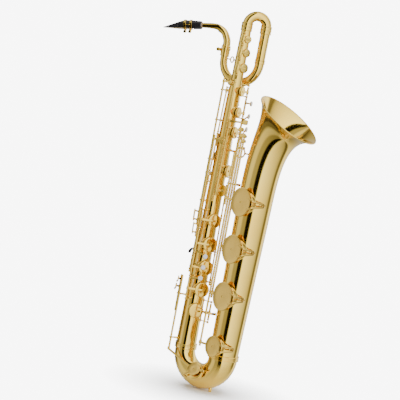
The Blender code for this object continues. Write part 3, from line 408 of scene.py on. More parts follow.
def ramp(tree, factor, stops):
    """A colour ramp; stops are (position, colour)."""
    node = tree.nodes.new("ShaderNodeValToRGB")
    elements = node.color_ramp.elements
    while len(elements) < len(stops):
        elements.new(0.5)
    for element, (position, colour) in zip(elements, stops):
        element.position = position
        element.color = (*colour, 1.0)
    tree.links.new(factor, node.inputs["Fac"])
    return node.outputs["Color"]


def spread(tree, factor, low, high, start=0.3, end=0.7):
    """The factor's middle part taken to the range low to high."""
    values = (("From Min", start), ("From Max", end), ("To Min", low), ("To Max", high))
    return wired(tree, "MapRange", values, [("Value", factor)]).outputs["Result"]


def bump(tree, shader, height, strength, distance):
    node = wired(tree, "Bump", (("Strength", strength), ("Distance", distance)), [("Height", height)])
    tree.links.new(node.outputs["Normal"], shader.inputs["Normal"])


def finished(made, tree, shader, colour, rough):
    tree.links.new(colour, shader.inputs["Base Color"])
    tree.links.new(rough, shader.inputs["Roughness"])
    return made


def lacquer(name, deep, pale, smooth, rough, strength):
    """Lacquered brass: slow colour change, hand-polished waviness and fine wiping marks."""
    made, tree, shader, where = new_look(name, 1.0, coat=0.35, coat_roughness=0.04)
    tone = noise(tree, where, 9.0, 3.0)
    marks = noise(tree, stretched(tree, where, (260.0, 260.0, 38.0)), 1.0, 3.0)
    waves = noise(tree, where, 55.0, 1.0)
    bump(tree, shader, waves, strength, 0.0004)
    colour = ramp(tree, tone, ((0.36, deep), (0.62, pale)))
    return finished(made, tree, shader, colour, spread(tree, marks, smooth, rough))


def grainy(name, dark, light, grain, roughness, height, metallic=0.0, coat=0.0, sheen=0.0):
    """A material whose colour, roughness and height follow one stretched grain."""
    made, tree, shader, where = new_look(name, metallic, coat, 0.08, sheen)
    fibres = noise(tree, stretched(tree, where, grain), 1.0, GRAIN_DETAIL, GRAIN_ROUGHNESS)
    bump(tree, shader, fibres, 0.5, height)
    colour = ramp(tree, fibres, ((0.32, dark), (0.68, light)))
    return finished(made, tree, shader, colour, spread(tree, fibres, *roughness))


GOLD = lacquer("gold_lacquer_look", (0.93, 0.62, 0.09), (0.97, 0.69, 0.12), 0.075, 0.14, 0.035)
GUARD_GOLD = lacquer("guard_gold_look", (0.74, 0.48, 0.08), (0.82, 0.55, 0.11), 0.16, 0.26, 0.05)
EBONITE = grainy("ebonite_look", (0.010, 0.010, 0.011), (0.022, 0.021, 0.021), (180.0, 180.0, 420.0),
                 (0.10, 0.20), 0.00003, coat=0.4)
CANE = grainy("cane_look", (0.58, 0.42, 0.20), (0.82, 0.68, 0.42), (260.0, 1500.0, 1500.0), (0.45, 0.65),
              0.00006)
CORK = grainy("cork_look", (0.36, 0.22, 0.12), (0.68, 0.48, 0.29), (900.0, 900.0, 900.0), (0.75, 0.95),
              0.00025)
SILVER = grainy("silver_look", (0.72, 0.72, 0.74), (0.88, 0.88, 0.90), (160.0, 160.0, 700.0), (0.10, 0.22),
                0.00003, metallic=1.0)
BLACK = grainy("black_plastic_look", (0.012, 0.012, 0.013), (0.035, 0.035, 0.037), (1400.0, 1400.0, 1400.0),
               (0.30, 0.48), 0.00005)
PEARL = grainy("pearl_look", (0.72, 0.74, 0.76), (0.94, 0.92, 0.90), (190.0, 420.0, 240.0), (0.12, 0.24),
               0.00003, coat=0.7)
LEATHER = grainy("leather_look", (0.20, 0.10, 0.05), (0.42, 0.24, 0.13), (1500.0, 1500.0, 1500.0),
                 (0.45, 0.65), 0.00012)
FELT = grainy("felt_look", (0.020, 0.020, 0.022), (0.060, 0.058, 0.056), (2600.0, 2600.0, 2600.0),
              (0.85, 0.98), 0.00015, sheen=0.4)


# ---------------------------------------------------------------- main tubes

def body_radius(z):
    share = (z - BODY_LOW) / (BODY_HIGH - BODY_LOW)
    return BODY_RADIUS_LOW + share * (BODY_RADIUS_HIGH - BODY_RADIUS_LOW)


def bell_x(z):
    low, high = 2 * BOW_BEND, BELL_CONTROL[0][0]
    return low + (high - low) * (z - BODY_LOW) / (BELL_CONTROL[0][1] - BODY_LOW)


def bell_radius(z):
    share = (z - BODY_LOW) / (BELL_CONTROL[0][1] - BODY_LOW)
    return BOW_RADIUS_BELL + share * (BELL_RADIUS_STRAIGHT - BOW_RADIUS_BELL)


def bow_radius(x):
    return BOW_RADIUS_BODY + (BOW_RADIUS_BELL - BOW_RADIUS_BODY) * math.acos(1 - x / BOW_BEND) / math.pi


def chimney(axis_point, facing, tube_radius, seat, radius, along=UP, steps=48):
    """A raised tone hole whose foot follows the tube's surface, with a fillet and a rounded seat."""
    across = Vector(facing).cross(along).normalized()
    along = across.cross(facing).normalized() * -1.0
    wall = 1.2
    fillet = min(1.6, (seat - tube_radius) * 0.4)

    def row(reach, height, follow):
        points = []
        for turn in turns(steps):
            aside = reach * math.cos(turn)
            surface = math.sqrt(max(tube_radius ** 2 - min(abs(aside), tube_radius * 0.98) ** 2, 0.0))
            level = surface + height if follow else height
            points.append(Vector(axis_point) + facing * level + across * aside
                          + along * (reach * math.sin(turn)))
        return points
    rows = [row(radius + fillet, -0.3, True), row(radius + fillet * 0.35, fillet * 0.3, True),
            row(radius, fillet, True), row(radius, seat - 0.5, False), row(radius - 0.25, seat, False),
            row(radius - wall + 0.2, seat, False), row(radius - wall, seat - 0.5, False),
            row(radius - wall, -0.4, True)]
    return loft(rows, closed=True)


def bead(centre_z, radius, half, height, groove=0.5):
    """A ferrule with a raised bead at each edge and one in its middle; half is half its height."""
    out, crest = radius + height, radius + height + groove
    lower = [(radius, -half), (out, -half), (crest, -half + 0.9), (crest, -half + 2.2), (out, -half + 3.0),
             (out, -1.2), (crest, -0.7)]
    return collar(mirrored(lower), Vector((0.0, 0.0, centre_z)), UP, 96)


def build_body_tube():
    heights = [SEAM + (BODY_HIGH - SEAM) * n / 24 for n in range(25)]
    shapes = [tube([(0, 0, z) for z in heights], [body_radius(z) for z in heights], 96, WALL)]
    for name, (angle, z, cup_radius) in {**STACK_HOLES, **SIDE_HOLES}.items():
        facing = around(angle, 1.0)
        shapes.append(chimney((0, 0, z), facing, body_radius(z), body_radius(z) + CHIMNEY,
                              max(cup_radius - CUP_LAP, 3.4)))
    piece("body_tube_shell", "horn", GOLD, shapes, ["body_tube"])


def build_bottom_bow():
    points, radii = [(0.0, 0.0, SEAM)], [BOW_RADIUS_BODY]
    steps = 40
    for n in range(steps + 1):
        turn = math.pi * n / steps
        points.append((BOW_BEND * (1 - math.cos(turn)), 0.0, BODY_LOW - BOW_BEND * math.sin(turn)))
        radii.append(BOW_RADIUS_BODY + (BOW_RADIUS_BELL - BOW_RADIUS_BODY) * n / steps)
    points.append((2 * BOW_BEND, 0.0, SEAM))
    radii.append(BOW_RADIUS_BELL)
    axis_point, facing, seat = low_c_seat()
    foot = lathe([(0.0, 0.0), (3.6, 0.0), (4.0, 0.3), (4.9, 5.4), (5.6, 6.4), (5.6, 8.0), (4.8, 9.0),
                  (4.4, 12.0), (5.0, 22.0), (0.0, 22.0)], (108.0, 0.0, 2.0), (108.0, 0.0, 3.0), 32)
    ring = bell_ring_profile(BOW_RADIUS_BELL)
    base = Vector((2 * BOW_BEND, 0.0, SEAM))
    piece("bottom_bow_shell", "horn", GOLD,
          [tube(points, radii, 96, WALL, NORTH), foot, lathe(ring, base, base + UP, 96),
           chimney(axis_point, facing, bow_radius(axis_point[0]), seat, LOW_C_HOLE[1] - CUP_LAP, EAST)],
          ["bottom_bow"])
    piece("bow_ring_shell", "horn", GOLD, [bead(SEAM + 2.0, BODY_RADIUS_LOW + 0.3, 8.0, 2.3)], ["bow_ring"])


def bell_ring_profile(radius):
    """The wide ferrule round the joint of bow and bell, with its three beads."""
    low, high, out = -5.0, 9.0, radius + 2.6
    return [(radius, low), (out, low), (out + 1.0, low + 0.8), (out + 1.0, low + 2.4), (out, low + 3.2),
            (out, 0.6), (out + 0.7, 1.2), (out + 0.7, 2.8), (out, 3.4), (out, high - 3.2),
            (out + 1.0, high - 2.4), (out + 1.0, high - 0.8), (out, high), (radius + 1.0, high),
            (radius, low)]


def low_c_seat():
    """The axis point, facing and seat distance of the bow's tone hole."""
    x = LOW_C_HOLE[0]
    drop = math.sqrt(BOW_BEND ** 2 - (x - BOW_BEND) ** 2)
    facing = Vector((0.0, -math.cos(LOW_C_TILT), math.sin(LOW_C_TILT)))
    return Vector((x, 0.0, BODY_LOW - drop)), facing, bow_radius(x) + LOW_C_CHIMNEY


def bell_facing(z):
    return Vector((bell_x(z), 0.0, z)), Vector((math.sin(SIDE_TURN), -math.cos(SIDE_TURN), 0.0))


def build_bell():
    heights = [SEAM + 1.7, *(130.0 + 43.0 * n for n in range(10))]
    points = [(bell_x(z), 0.0, z) for z in heights]
    radii = [bell_radius(z) for z in heights]
    controls = [Vector((x, 0.0, z)) for x, z in BELL_CONTROL]
    steps = 48
    for n, point in enumerate(interpolate_bezier(*controls, steps)):
        share = n / (steps - 1)
        points.append(tuple(point))
        radii.append(BELL_RADIUS_STRAIGHT + FLARE_THROAT * share ** 2 + FLARE_RIM * share ** 8)
    shapes = [tube(points, radii, 128, WALL, NORTH)]
    for z, cup_radius in BELL_HOLES.values():
        axis_point, facing = bell_facing(z)
        shapes.append(chimney(axis_point, facing, bell_radius(z), bell_radius(z) + BELL_CHIMNEY,
                              cup_radius - 2 * CUP_LAP, steps=64))
    rim_centre, below = Vector(points[-1]), Vector(points[-2])
    onward = (rim_centre - below).normalized()
    shapes.append(torus(rim_centre - onward * 0.9, onward, radii[-1] - 0.5, 1.7, 160, 16))
    piece("bell_shell", "horn", GOLD, shapes, ["bell"])


def build_crook():
    middle, bend = (CROOK_X + RECEIVER_X) / 2, (CROOK_X - RECEIVER_X) / 2
    points, radii = [(RECEIVER_X, CROOK_Y, RECEIVER_LOW)], [CROOK_RADIUS_LOW]
    steps = 48
    for n in range(steps + 1):
        turn = math.pi * n / steps
        points.append((middle - bend * math.cos(turn), CROOK_Y, CROOK_BEND_HEIGHT - bend * math.sin(turn)))
        radii.append(CROOK_RADIUS_LOW + 2.6 * n / steps)
    for share in (0.33, 0.66, 1.0):
        points.append((CROOK_X, CROOK_Y, CROOK_BEND_HEIGHT + share * (BODY_HIGH - CROOK_BEND_HEIGHT)))
        radii.append(CROOK_RADIUS_HIGH + 0.6 * share)
    joint_ring = mirrored([(12.6, -6.0), (14.6, -6.0), (15.2, -5.2), (15.2, -4.0), (14.6, -3.2)])
    base = Vector((CROOK_X, CROOK_Y, 966.0))
    pivot = pivot_of("water_key_pivot")
    cheeks = [plate(pivot + Vector((0, side * 4.6 + 0.8, 2.4)), EAST, UP, 2.5, 4.8, 1.6,
                    2.6) for side in (-1, 1)]
    bridge = plate(pivot + Vector((0, 0, 5.0)), EAST, NORTH, 3.2, 5.4, 2.2, 3.0)
    piece("crook_shell", "horn", GOLD, [tube(points, radii, 72, WALL, NORTH),
                                        lathe(joint_ring, base, base + UP, 72), *cheeks, bridge],
          ["crook"])


def build_top_bow():
    start, end = Vector((CROOK_X, CROOK_Y, 0.0)), Vector((0.0, 0.0, 0.0))
    middle, half = (start + end) / 2, (start - end) / 2
    base = BODY_HIGH + 3.2
    points, radii = [start + UP * (BODY_HIGH + 0.3)], [TOP_BOW_RADIUS]
    steps = 40
    for n in range(steps + 1):
        turn = math.pi * n / steps
        points.append(middle + half * math.cos(turn) + UP * (base + half.length * math.sin(turn)))
        radii.append(TOP_BOW_RADIUS)
    points.append(end + UP * (BODY_HIGH + 0.3))
    radii.append(TOP_BOW_RADIUS)
    shapes = [tube(points, radii, 72, WALL, half.cross(UP).normalized())]
    profile = [(14.2, 7.8), (16.2, 7.8), (16.9, 7.0), (16.9, 5.4), (16.2, 4.6), (16.2, -3.0), (16.8, -3.7),
               (16.8, -5.0), (16.2, -5.7), (16.2, -12.6), (16.9, -13.4), (16.9, -15.0), (16.2, -15.8),
               (15.0, -15.8), (15.0, 0.0), (14.2, 0.0), (14.2, 7.8)]
    for foot in (start, end):
        place = foot + UP * BODY_HIGH
        shapes.append(lathe(profile, place, place + UP, 72))
    piece("top_bow_shell", "horn", GOLD, shapes, ["top_bow"])


def build_receiver():
    centre = Vector((RECEIVER_X, CROOK_Y, RECEIVER_LOW))
    height = RECEIVER_HIGH - RECEIVER_LOW
    profile = [(14.4, height - 0.4), (14.0, height), (11.7, height), (11.7, 0.0), (13.8, 0.0), (14.2, 0.5),
               (14.2, 2.4), (13.4, 3.4), (13.2, 6.0), (13.6, 9.0), (13.2, 12.0), (13.3, height - 6.4),
               (14.3, height - 5.2), (14.4, height - 4.4), (14.4, height - 0.4)]
    top = centre + UP * (height - 7.0)
    lug = [plate(top + Vector((-18.0, side - 1.6 if side < 0 else side + 0.2, 0.0)) + NORTH * 3.4, EAST,
                 UP, 5.6, 4.8, 3.4, 2.8) for side in (-4.4, 0.6)]
    piece("neck_receiver_shell", "horn", GOLD, [lathe(profile, centre, centre + UP, 64), *lug],
          ["neck_receiver"])
    head = pivot_of("neck_screw_turn")
    shank = rod(head + NORTH, head + NORTH * 12.8, 1.85, 24)
    knob = lathe([(0.0, -4.0), (3.2, -4.0), (4.2, -3.4), (5.4, -2.4), (5.5, 0.0), (4.6, 0.8),
                  (0.0, 1.0)], head, head + NORTH, 32)
    wings = plate(head - NORTH * 2.6, EAST, UP, 5.2, 2.6, 1.4, 2.2)
    piece("neck_screw_detail", "neck_screw", GOLD, [shank, knob, wings], ["neck_screw"])


# ---------------------------------------------------------------- neck and mouthpiece

NECK_DIRECTION = Vector((-math.cos(NECK_TURN), -math.sin(NECK_TURN), 0.0))


def neck_point(out, z):
    return Vector((RECEIVER_X, CROOK_Y, z)) + NECK_DIRECTION * out


def mouthpiece_axis():
    """The mouthpiece's shank end, the way to its tip and its upward side."""
    shank, end = neck_point(*NECK_STATIONS[6][:2]), neck_point(*NECK_STATIONS[7][:2])
    along = (end - shank).normalized()
    side = along.cross(UP).normalized()
    return shank, along, side.cross(along)


def build_neck():
    stations = smooth_path(NECK_STATIONS, 8)
    points = [neck_point(out, z) for out, z, radius in stations]
    radii = [radius for out, z, radius in stations]
    base = neck_point(0.0, RECEIVER_HIGH)
    collar = [(11.0, 0.8), (13.6, 0.8), (14.1, 1.3), (14.1, 2.6), (13.4, 3.2), (13.4, 4.4), (13.9, 4.9),
              (13.9, 5.4), (13.2, 5.7), (12.0, 6.8), (11.4, 9.6), (11.0, 9.8), (11.0, 0.8)]
    shank, along = mouthpiece_axis()[:2]
    tip_ring = torus(shank + along * 28.6, along, 6.75, 0.5, 48, 10)
    brace_root, brace_end = neck_point(12.0, 1020.0), neck_point(32.0, 1032.5)
    brace = bent_arm([brace_root, (brace_root + brace_end) / 2 + UP * 1.5, brace_end], 3.4, 3.0, (2.6, 2.2),
                     NECK_DIRECTION.cross(UP))
    piece("neck_shell", "neck", GOLD, [tube(points, radii, 64, WALL, NECK_DIRECTION.cross(UP)),
                                       lathe(collar, base, base + UP, 64), tip_ring, brace], ["neck_tube"])
    cork = lathe([(7.7, 13.0), (8.3, 13.2), (8.55, 14.0), (8.55, 41.0), (8.4, 42.4), (7.7, 43.0),
                  (7.7, 13.0)], shank - along * 15.0, shank - along * 14.0, 48)
    piece("neck_cork_sleeve", "neck", CORK, [cork], ["neck_cork"])


def build_mouthpiece():
    shank, along, upward = mouthpiece_axis()
    side = along.cross(upward)
    sides = 64
    stations = 60
    length = MOUTHPIECE_LENGTH - 0.6

    def barrel(out):
        shape = ((0.0, 11.2), (0.8, 12.0), (8.0, 12.4), (20.0, 13.0), (30.0, 13.3), (62.0, 13.3),
                 (88.0, 12.6), (116.0, 10.9))
        for (low, small), (high, large) in zip(shape, shape[1:]):
            if out <= high:
                return small + (large - small) * (out - low) / (high - low)
        return shape[-1][1]

    def section(out, radius):
        """The round barrel trimmed by the flat table below, the sloping beak above and the tip's cheeks."""
        top = BEAK_LEVEL - BEAK_DROP * (out - BEAK_OUT) / (length - BEAK_OUT) if out > BEAK_OUT else math.inf
        table = TABLE_LEVEL if out > TABLE_OUT else -math.inf
        half = 11.0 - 3.6 * (out - CHEEK_OUT) / (length - CHEEK_OUT) if out >= CHEEK_OUT else math.inf
        ring = []
        for turn in turns(sides):
            across, level = radius * math.cos(turn), radius * math.sin(turn)
            across = max(-half, min(half, across))
            level = max(min(level, top), table)
            ring.append(shank + along * out + side * across + upward * level)
        return ring
    rings = [section(length * n / stations, barrel(length * n / stations)) for n in range(stations + 1)]
    bore = [circle(shank + along * out, side, upward, 8.9, sides) for out in (30.0, 0.4)]
    lip = circle(shank, side, upward, 9.4, sides)
    piece("mouthpiece_blank", "mouthpiece", EBONITE, [loft([*bore, lip, *rings])], ["mouthpiece"])
    build_reed(shank, along, upward, side)
    build_ligature(shank, along, upward, side)


def build_reed(shank, along, upward, side):
    """A reed with a rounded bark, thinned from its shoulder to the tip."""
    rings = []
    tip = MOUTHPIECE_LENGTH - 1.1
    outline = 24
    for n in range(41):
        out = REED_OUT + (tip - REED_OUT) * n / 40
        share = max(0.0, (out - REED_SHOULDER) / (tip - REED_SHOULDER))
        depth = 2.7 * (1.0 - share) ** 1.2 + 0.25
        ring = []
        for m in range(outline + 1):
            across = REED_HALF - 2 * REED_HALF * m / outline
            swell = math.sqrt(max(0.0, 1.0 - (across / 9.2) ** 2))
            ring.append(shank + along * out + side * across + upward * (REED_LEVEL - depth * swell))
        ring += [shank + along * out + side * across + upward * REED_LEVEL
                 for across in (-REED_HALF, REED_HALF)]
        rings.append(ring)
    piece("reed_cane", "mouthpiece", CANE, [loft(rings)], ["reed"])


def build_ligature(shank, along, upward, side):
    bands = []
    for low in (29.0, 47.0):
        high = low + 6.5
        profile = [(13.6, low), (14.6, low), (15.1, low + 0.5), (15.1, high - 0.5), (14.6, high),
                   (13.6, high), (13.6, low)]
        bands.append(lathe(profile, shank, shank + along, 72))
    for turn in (0.0, 55.0, 125.0, 180.0):
        away = side * math.cos(math.radians(turn)) + upward * math.sin(math.radians(turn))
        bands.append(rod(shank + away * 14.3 + along * 33.0, shank + away * 14.3 + along * 49.0, 0.9, 12))
    lugs = []
    screws = ("ligature_screw_back", "ligature_screw_front")
    for name in screws:
        middle = pivot_of(name + "_turn")
        for sign in (-1.0, 1.0):
            lugs.append(bent_arm([middle + side * sign * 3.4 + upward * 8.0, middle + side * sign * 3.2,
                                  middle + side * sign * 3.2 - upward * 2.6], 6.4, 5.4, (2.0, 1.8), along))
    piece("ligature_band", "mouthpiece", GOLD, [*bands, *lugs], ["ligature"])
    for name in screws:
        middle = pivot_of(name + "_turn")
        shaft = rod(middle + side * 5.0, middle - side * 6.0, 1.1, 20)
        knob = lathe([(0.0, -0.4), (2.4, -0.4), (2.8, 0.2), (2.2, 1.6), (3.6, 2.6), (4.3, 3.4), (4.3, 5.4),
                      (3.6, 6.0), (0.0, 6.2)], middle - side * 4.6, middle - side * 20.0, 12)
        piece(name + "_detail", name, GOLD, [shaft, knob], [name])


# ---------------------------------------------------------------- keywork

def pad_cup(axis_point, facing, seat, radius, thick):
    """The brass cup, hollow below for its pad; seat is the closed pad's distance from the tube's axis."""
    profile = [(radius - 0.7, 0.6), (radius - 0.2, 0.6), (radius, 0.9), (radius, thick - 2.4),
               (radius - 0.35, thick - 1.5), (radius - 1.3, thick - 0.7), (radius - 3.2, thick - 0.35),
               (radius * 0.5, thick - 0.05), (4.2, thick), (3.9, thick + 0.4), (0.0, thick + 0.5)]
    profile = [(0.0, 1.4), (radius - 0.7, 1.4), *profile]
    start = Vector(axis_point) + facing * seat
    return lathe(profile, start, start + facing, 56 if radius > 20 else 44)


def pad(axis_point, facing, seat, radius):
    """The leather pad in a cup, with the ring that its tone hole has pressed into it."""
    mark = radius - CUP_LAP
    profile = [(0.0, 0.1), (mark - 3.0, 0.1), (mark - 1.6, 0.25), (mark - 0.4, 0.25), (radius - 1.4, 0.0),
               (radius - 0.8, 0.3), (radius - 0.75, 1.4), (0.0, 1.4)]
    start = Vector(axis_point) + facing * seat
    return lathe(profile, start, start + facing, 56)


def resonator(axis_point, facing, seat, radius):
    """The small metal dome riveted in the middle of a pad."""
    reach = radius * 0.42
    profile = [(0.0, -0.5), (reach * 0.4, -0.42), (reach * 0.8, -0.18), (reach, 0.12), (0.0, 0.12)]
    start = Vector(axis_point) + facing * seat
    return lathe(profile, start, start + facing, 32)


def hinge_tube(pivot, low, high, collars=()):
    """A hinge tube with chamfered ends and a thin groove beside each collar."""
    radius = HINGE
    profile = [(0.0, 0.0), (radius - 0.7, 0.0), (radius - 0.1, 0.5)]
    for z in sorted(collars):
        height = z - low
        profile += [(radius - 0.1, height - 4.0), (radius, height - 3.6), (radius, height + 3.6),
                    (radius - 0.1, height + 4.0)]
    length = high - low
    profile += [(radius - 0.1, length - 0.5), (radius - 0.7, length), (0.0, length)]
    return lathe(profile, at_height(pivot, low), at_height(pivot, high), 28)


def pearl_parts(centre, facing, radius=PEARL_RADIUS):
    """The brass holder and the pearl button in it; centre is the middle of the holder's back."""
    tip = centre + facing
    holder = lathe([(0.0, 0.0), (radius - 1.4, 0.0), (radius - 0.3, 1.0), (radius, 2.2), (radius, 3.1),
                    (radius - 0.5, 3.3), (radius - 0.8, 2.4), (0.0, 2.2)], centre, tip, 40)
    button = lathe([(0.0, 2.3), (radius - 0.95, 2.3), (radius - 0.95, 3.1), (radius - 1.5, 3.9),
                    (radius - 2.6, 4.3),
                    (radius - 4.6, 4.15), (0.0, 3.9)], centre, tip, 40)
    return holder, button


def post(foot, top, outward_radius=4.0):
    """A turned post from its soldered flange to the ball that holds the hinge line."""
    foot, top = Vector(foot), Vector(top)
    length = (top - foot).length
    ball = outward_radius
    profile = [(0.0, -0.4), (3.6, -0.4), (3.6, 0.3), (2.4, 1.0), (1.6, 2.0),
               (1.5, max(2.2, length - ball - 2.0)), (2.1, length - ball)]
    profile += [(ball * math.sin(math.radians(turn)), length - ball * math.cos(math.radians(turn)))
                for turn in range(35, 180, 16)]
    profile.append((0.0, length + ball))
    if length < ball + 5.0:
        profile = [(0.0, -0.4), (2.6, -0.4), (2.4, max(0.2, length - ball + 0.6))] + profile[7:]
    return lathe(profile, foot, top, 24)


def open_swing(pivot, axis_point, facing):
    """The turn about the hinge line that lifts a closed cup by OPEN_LIFT at its middle."""
    reach = Vector(axis_point) - at_height(pivot, axis_point[2])
    return OPEN_LIFT / Vector((-reach.y, reach.x, 0.0)).dot(facing)


def key_pieces(name, pivot, swing, brass, leather=(), pearls=(), metal=()):
    """The pieces of one key: brass, pad, resonator and pearls, turned open by the swing."""
    body = BODY_OF[name]
    sets = (("", GOLD, brass, [name]), ("_pad", LEATHER, leather, []), ("_pearl", PEARL, pearls, []),
            ("_resonator", SILVER, metal, []))
    for suffix, look, shapes, nodes in sets:
        if shapes:
            shapes = [turned_by(shape, pivot, swing) for shape in shapes]
            piece(name + ("_brass" if not suffix else suffix), body, look, shapes, nodes)


def saddle(middle, half, flat):
    """The sleeve round a hinge tube where an arm is soldered on; flat is half its full-width part."""
    return collar(mirrored([(HINGE - 0.2, -half), (HINGE + 0.9, 0.2 - half), (HINGE + 1.1, -flat)]), middle)


def cup_arm(pivot, axis_point, facing, height):
    """The arm from a hinge tube, rising over the cup's shoulder to a rounded end past its middle."""
    end = Vector(axis_point) + facing * height
    start = at_height(pivot, axis_point[2])
    way = (end - start).normalized()
    bar = bent_arm([start + way, mixed(start, end, 0.45), end - way * 2.0, end + way * 3.0], 7.4, 4.6,
                   (3.1, 2.5))
    return [saddle(start, 4.2, 3.4), bar]


def short_arm(root, outward, bend, reach, wide, thin):
    """A straight arm from a hinge tube out to a finger plate."""
    return bent_arm([root, root + outward * bend, root + outward * reach], wide, thin)


def cup_set(name, pivot, cup, thick, arms, swing, pearls=()):
    """A key's cup with its pad and resonator, and the arms and tubes that carry it; cup is
    (point on the tube's axis, facing, closed seat, radius)."""
    metal = [resonator(*cup)] if cup[3] > SMALL_CUP else []
    key_pieces(name, pivot, swing, [pad_cup(*cup, thick), *arms], [pad(*cup)], pearls, metal)


def body_key(name, span, touch=(), pearls=(), extra_root=()):
    """A key over a tone hole of the body tube; span is its hinge tube's low and high end."""
    angle, z, radius = {**STACK_HOLES, **SIDE_HOLES}[name]
    pivot = pivot_of(name + "_pivot")
    facing = around(angle, 1.0)
    axis_point = Vector((0.0, 0.0, z))
    seat = body_radius(z) + CHIMNEY + CLOSED_LIFT
    swing = open_swing(pivot, axis_point, facing) if name in STACK_HOLES else 0.0
    arms = [hinge_tube(pivot, *span, [z, *extra_root]),
            *cup_arm(pivot, axis_point, facing, seat + CUP_THICK + 0.4), *touch]
    cup_set(name, pivot, (axis_point, facing, seat, radius), CUP_THICK, arms, swing, pearls)


def finger_touch(pivot, root_z, angle, radius, z):
    """An arm from the hinge tube out to a pearl that faces away from the body."""
    facing = around(angle, 1.0)
    centre = around(angle, radius, z)
    root = at_height(pivot, root_z)
    holder, button = pearl_parts(centre - facing, facing)
    bend = (root + centre) / 2 - facing * 1.2
    reach = bent_arm([root, bend, centre - facing * 0.4], 5.6, 4.4, (3.0, 2.6))
    return [reach, holder], [button]


def build_lower_stack():
    pivot = pivot_of("f_key_pivot")
    body_key("f_sharp_key", (468.0, 514.0))
    for name, span, root, angle, z in (("f_key", (398.0, 460.0), 402.0, 38.0, 388.0),
                                       ("e_key", (328.0, 390.0), 362.0, 38.0, 356.0),
                                       ("d_key", (262.0, 320.0), 316.0, 36.0, 324.0)):
        touch, pearls = finger_touch(pivot, root, angle, 56.0, z)
        body_key(name, span, touch, pearls, [root])
    rib_posts("lower_stack_posts", -5.0, 6.0, pivot, (257.0, 324.0, 394.0, 464.0, 519.0))


def build_upper_stack():
    pivot = pivot_of("g_key_pivot")
    for name, span, root, z in (("g_key", (625.0, 736.0), 722.0, 768.0),
                                ("a_key", (744.0, 792.0), 788.0, 806.0),
                                ("b_key", (800.0, 856.0), 842.0, 843.0)):
        touch, pearls = finger_touch(pivot, root, 88.0, 57.0, z)
        body_key(name, span, touch, pearls, [root])
    body_key("c_key", (864.0, 888.0))
    rib_posts("upper_stack_posts", 142.0, 5.0, pivot, (620.0, 740.0, 796.0, 860.0, 893.0))


def rib(angle, low, high, width, lift=0.9):
    """A soldered strip along the body tube, with rounded ends."""
    path = [around(angle, body_radius(z) + lift, z) for z in (low + (high - low) * n / 8 for n in range(9))]
    return arm(path, [width * 0.6, *[width] * 7, width * 0.6], [1.4] * 9, around(angle + 90.0, 1.0))


def rib_posts(name, angle, width, pivot, heights):
    """A rib along the body tube, with a post to the hinge line at each height."""
    shapes = [rib(angle, heights[0] - 5.0, heights[-1] + 5.0, width)]
    for z in heights:
        shapes.append(post(around(angle, body_radius(z) + 1.2, z), at_height(pivot, z), 3.9))
    piece(name + "_turned", "horn", GOLD, shapes, [name])


def rod_eye(x, y, z, radius=5.2, half=2.0):
    """The ring of a bracket round a hinge tube."""
    lower = [(HINGE + 0.35, -half), (radius - 0.5, -half), (radius, -half + 0.5)]
    return collar(mirrored(lower), Vector((x, y, z)), UP, 36)


def eye_bracket(z, rods, foot, width=4.0):
    """Eyes joined by webs, with a stem to a soldered foot."""
    foot = Vector(foot)
    shapes = [rod_eye(x, y, z) for x, y in rods]
    for (x1, y1), (x2, y2) in zip(rods, rods[1:]):
        first, last = Vector((x1, y1, z)), Vector((x2, y2, z))
        way = (last - first).normalized()
        if (last - first).length > 9.0:
            shapes.append(arm([first + way * 4.4, last - way * 4.4], [width * 0.8] * 2, [3.4] * 2))
    middle = (Vector((*rods[0], z)) + Vector((*rods[-1], z))) / 2
    stem = (foot - middle).normalized()
    start = middle + stem * 4.0
    shapes.append(bent_arm([start, (start + foot) / 2, foot], width, width + 3.0, (3.6, 2.6)))
    return shapes


def side_touch(pivot, angle, low, high, reach):
    """A long finger plate beside the hinge tube, held by two short arms."""
    outward = around(angle, 1.0)
    across = UP.cross(outward)
    foot = at_height(pivot, 0.0)
    middle = foot + outward * (reach - 0.5) + UP * ((low + high) / 2)
    tilt = (outward * 1.5 + UP * (high - low)).normalized()
    shapes = [plate(middle, across, tilt, 5.5, (high - low) / 2, 2.4, 3.4, 0.9)]
    for z in (low + 6.0, high - 6.0):
        root = foot + UP * z
        shapes.append(short_arm(root, outward, reach * 0.5, reach + 0.4, 6.0, 4.6))
    return shapes


def build_side_keys():
    for name, span, touch in (("side_b_flat_key", (435.0, 736.0), (-50.0, 442.0, 478.0, 11.0)),
                              ("high_e_key", (470.0, 905.0), (-76.0, 478.0, 514.0, 12.0))):
        pivot = pivot_of(name + "_pivot")
        body_key(name, span, side_touch(pivot, *touch), (), [touch[1] + 6.0, touch[2] - 6.0])
    flat, high = rod_place("side_b_flat_key"), rod_place("high_e_key")
    shapes = [rib(-44.0, 535.0, 875.0, 6.0)]
    for z, rods in ((543.0, [flat, high]), (665.0, [flat, high]), (780.0, [high]), (868.0, [high])):
        shapes += eye_bracket(z, rods, around(-44.0, body_radius(z) + 0.9, z))
    piece("side_key_brackets", "horn", GOLD, shapes, ["side_key_posts"])


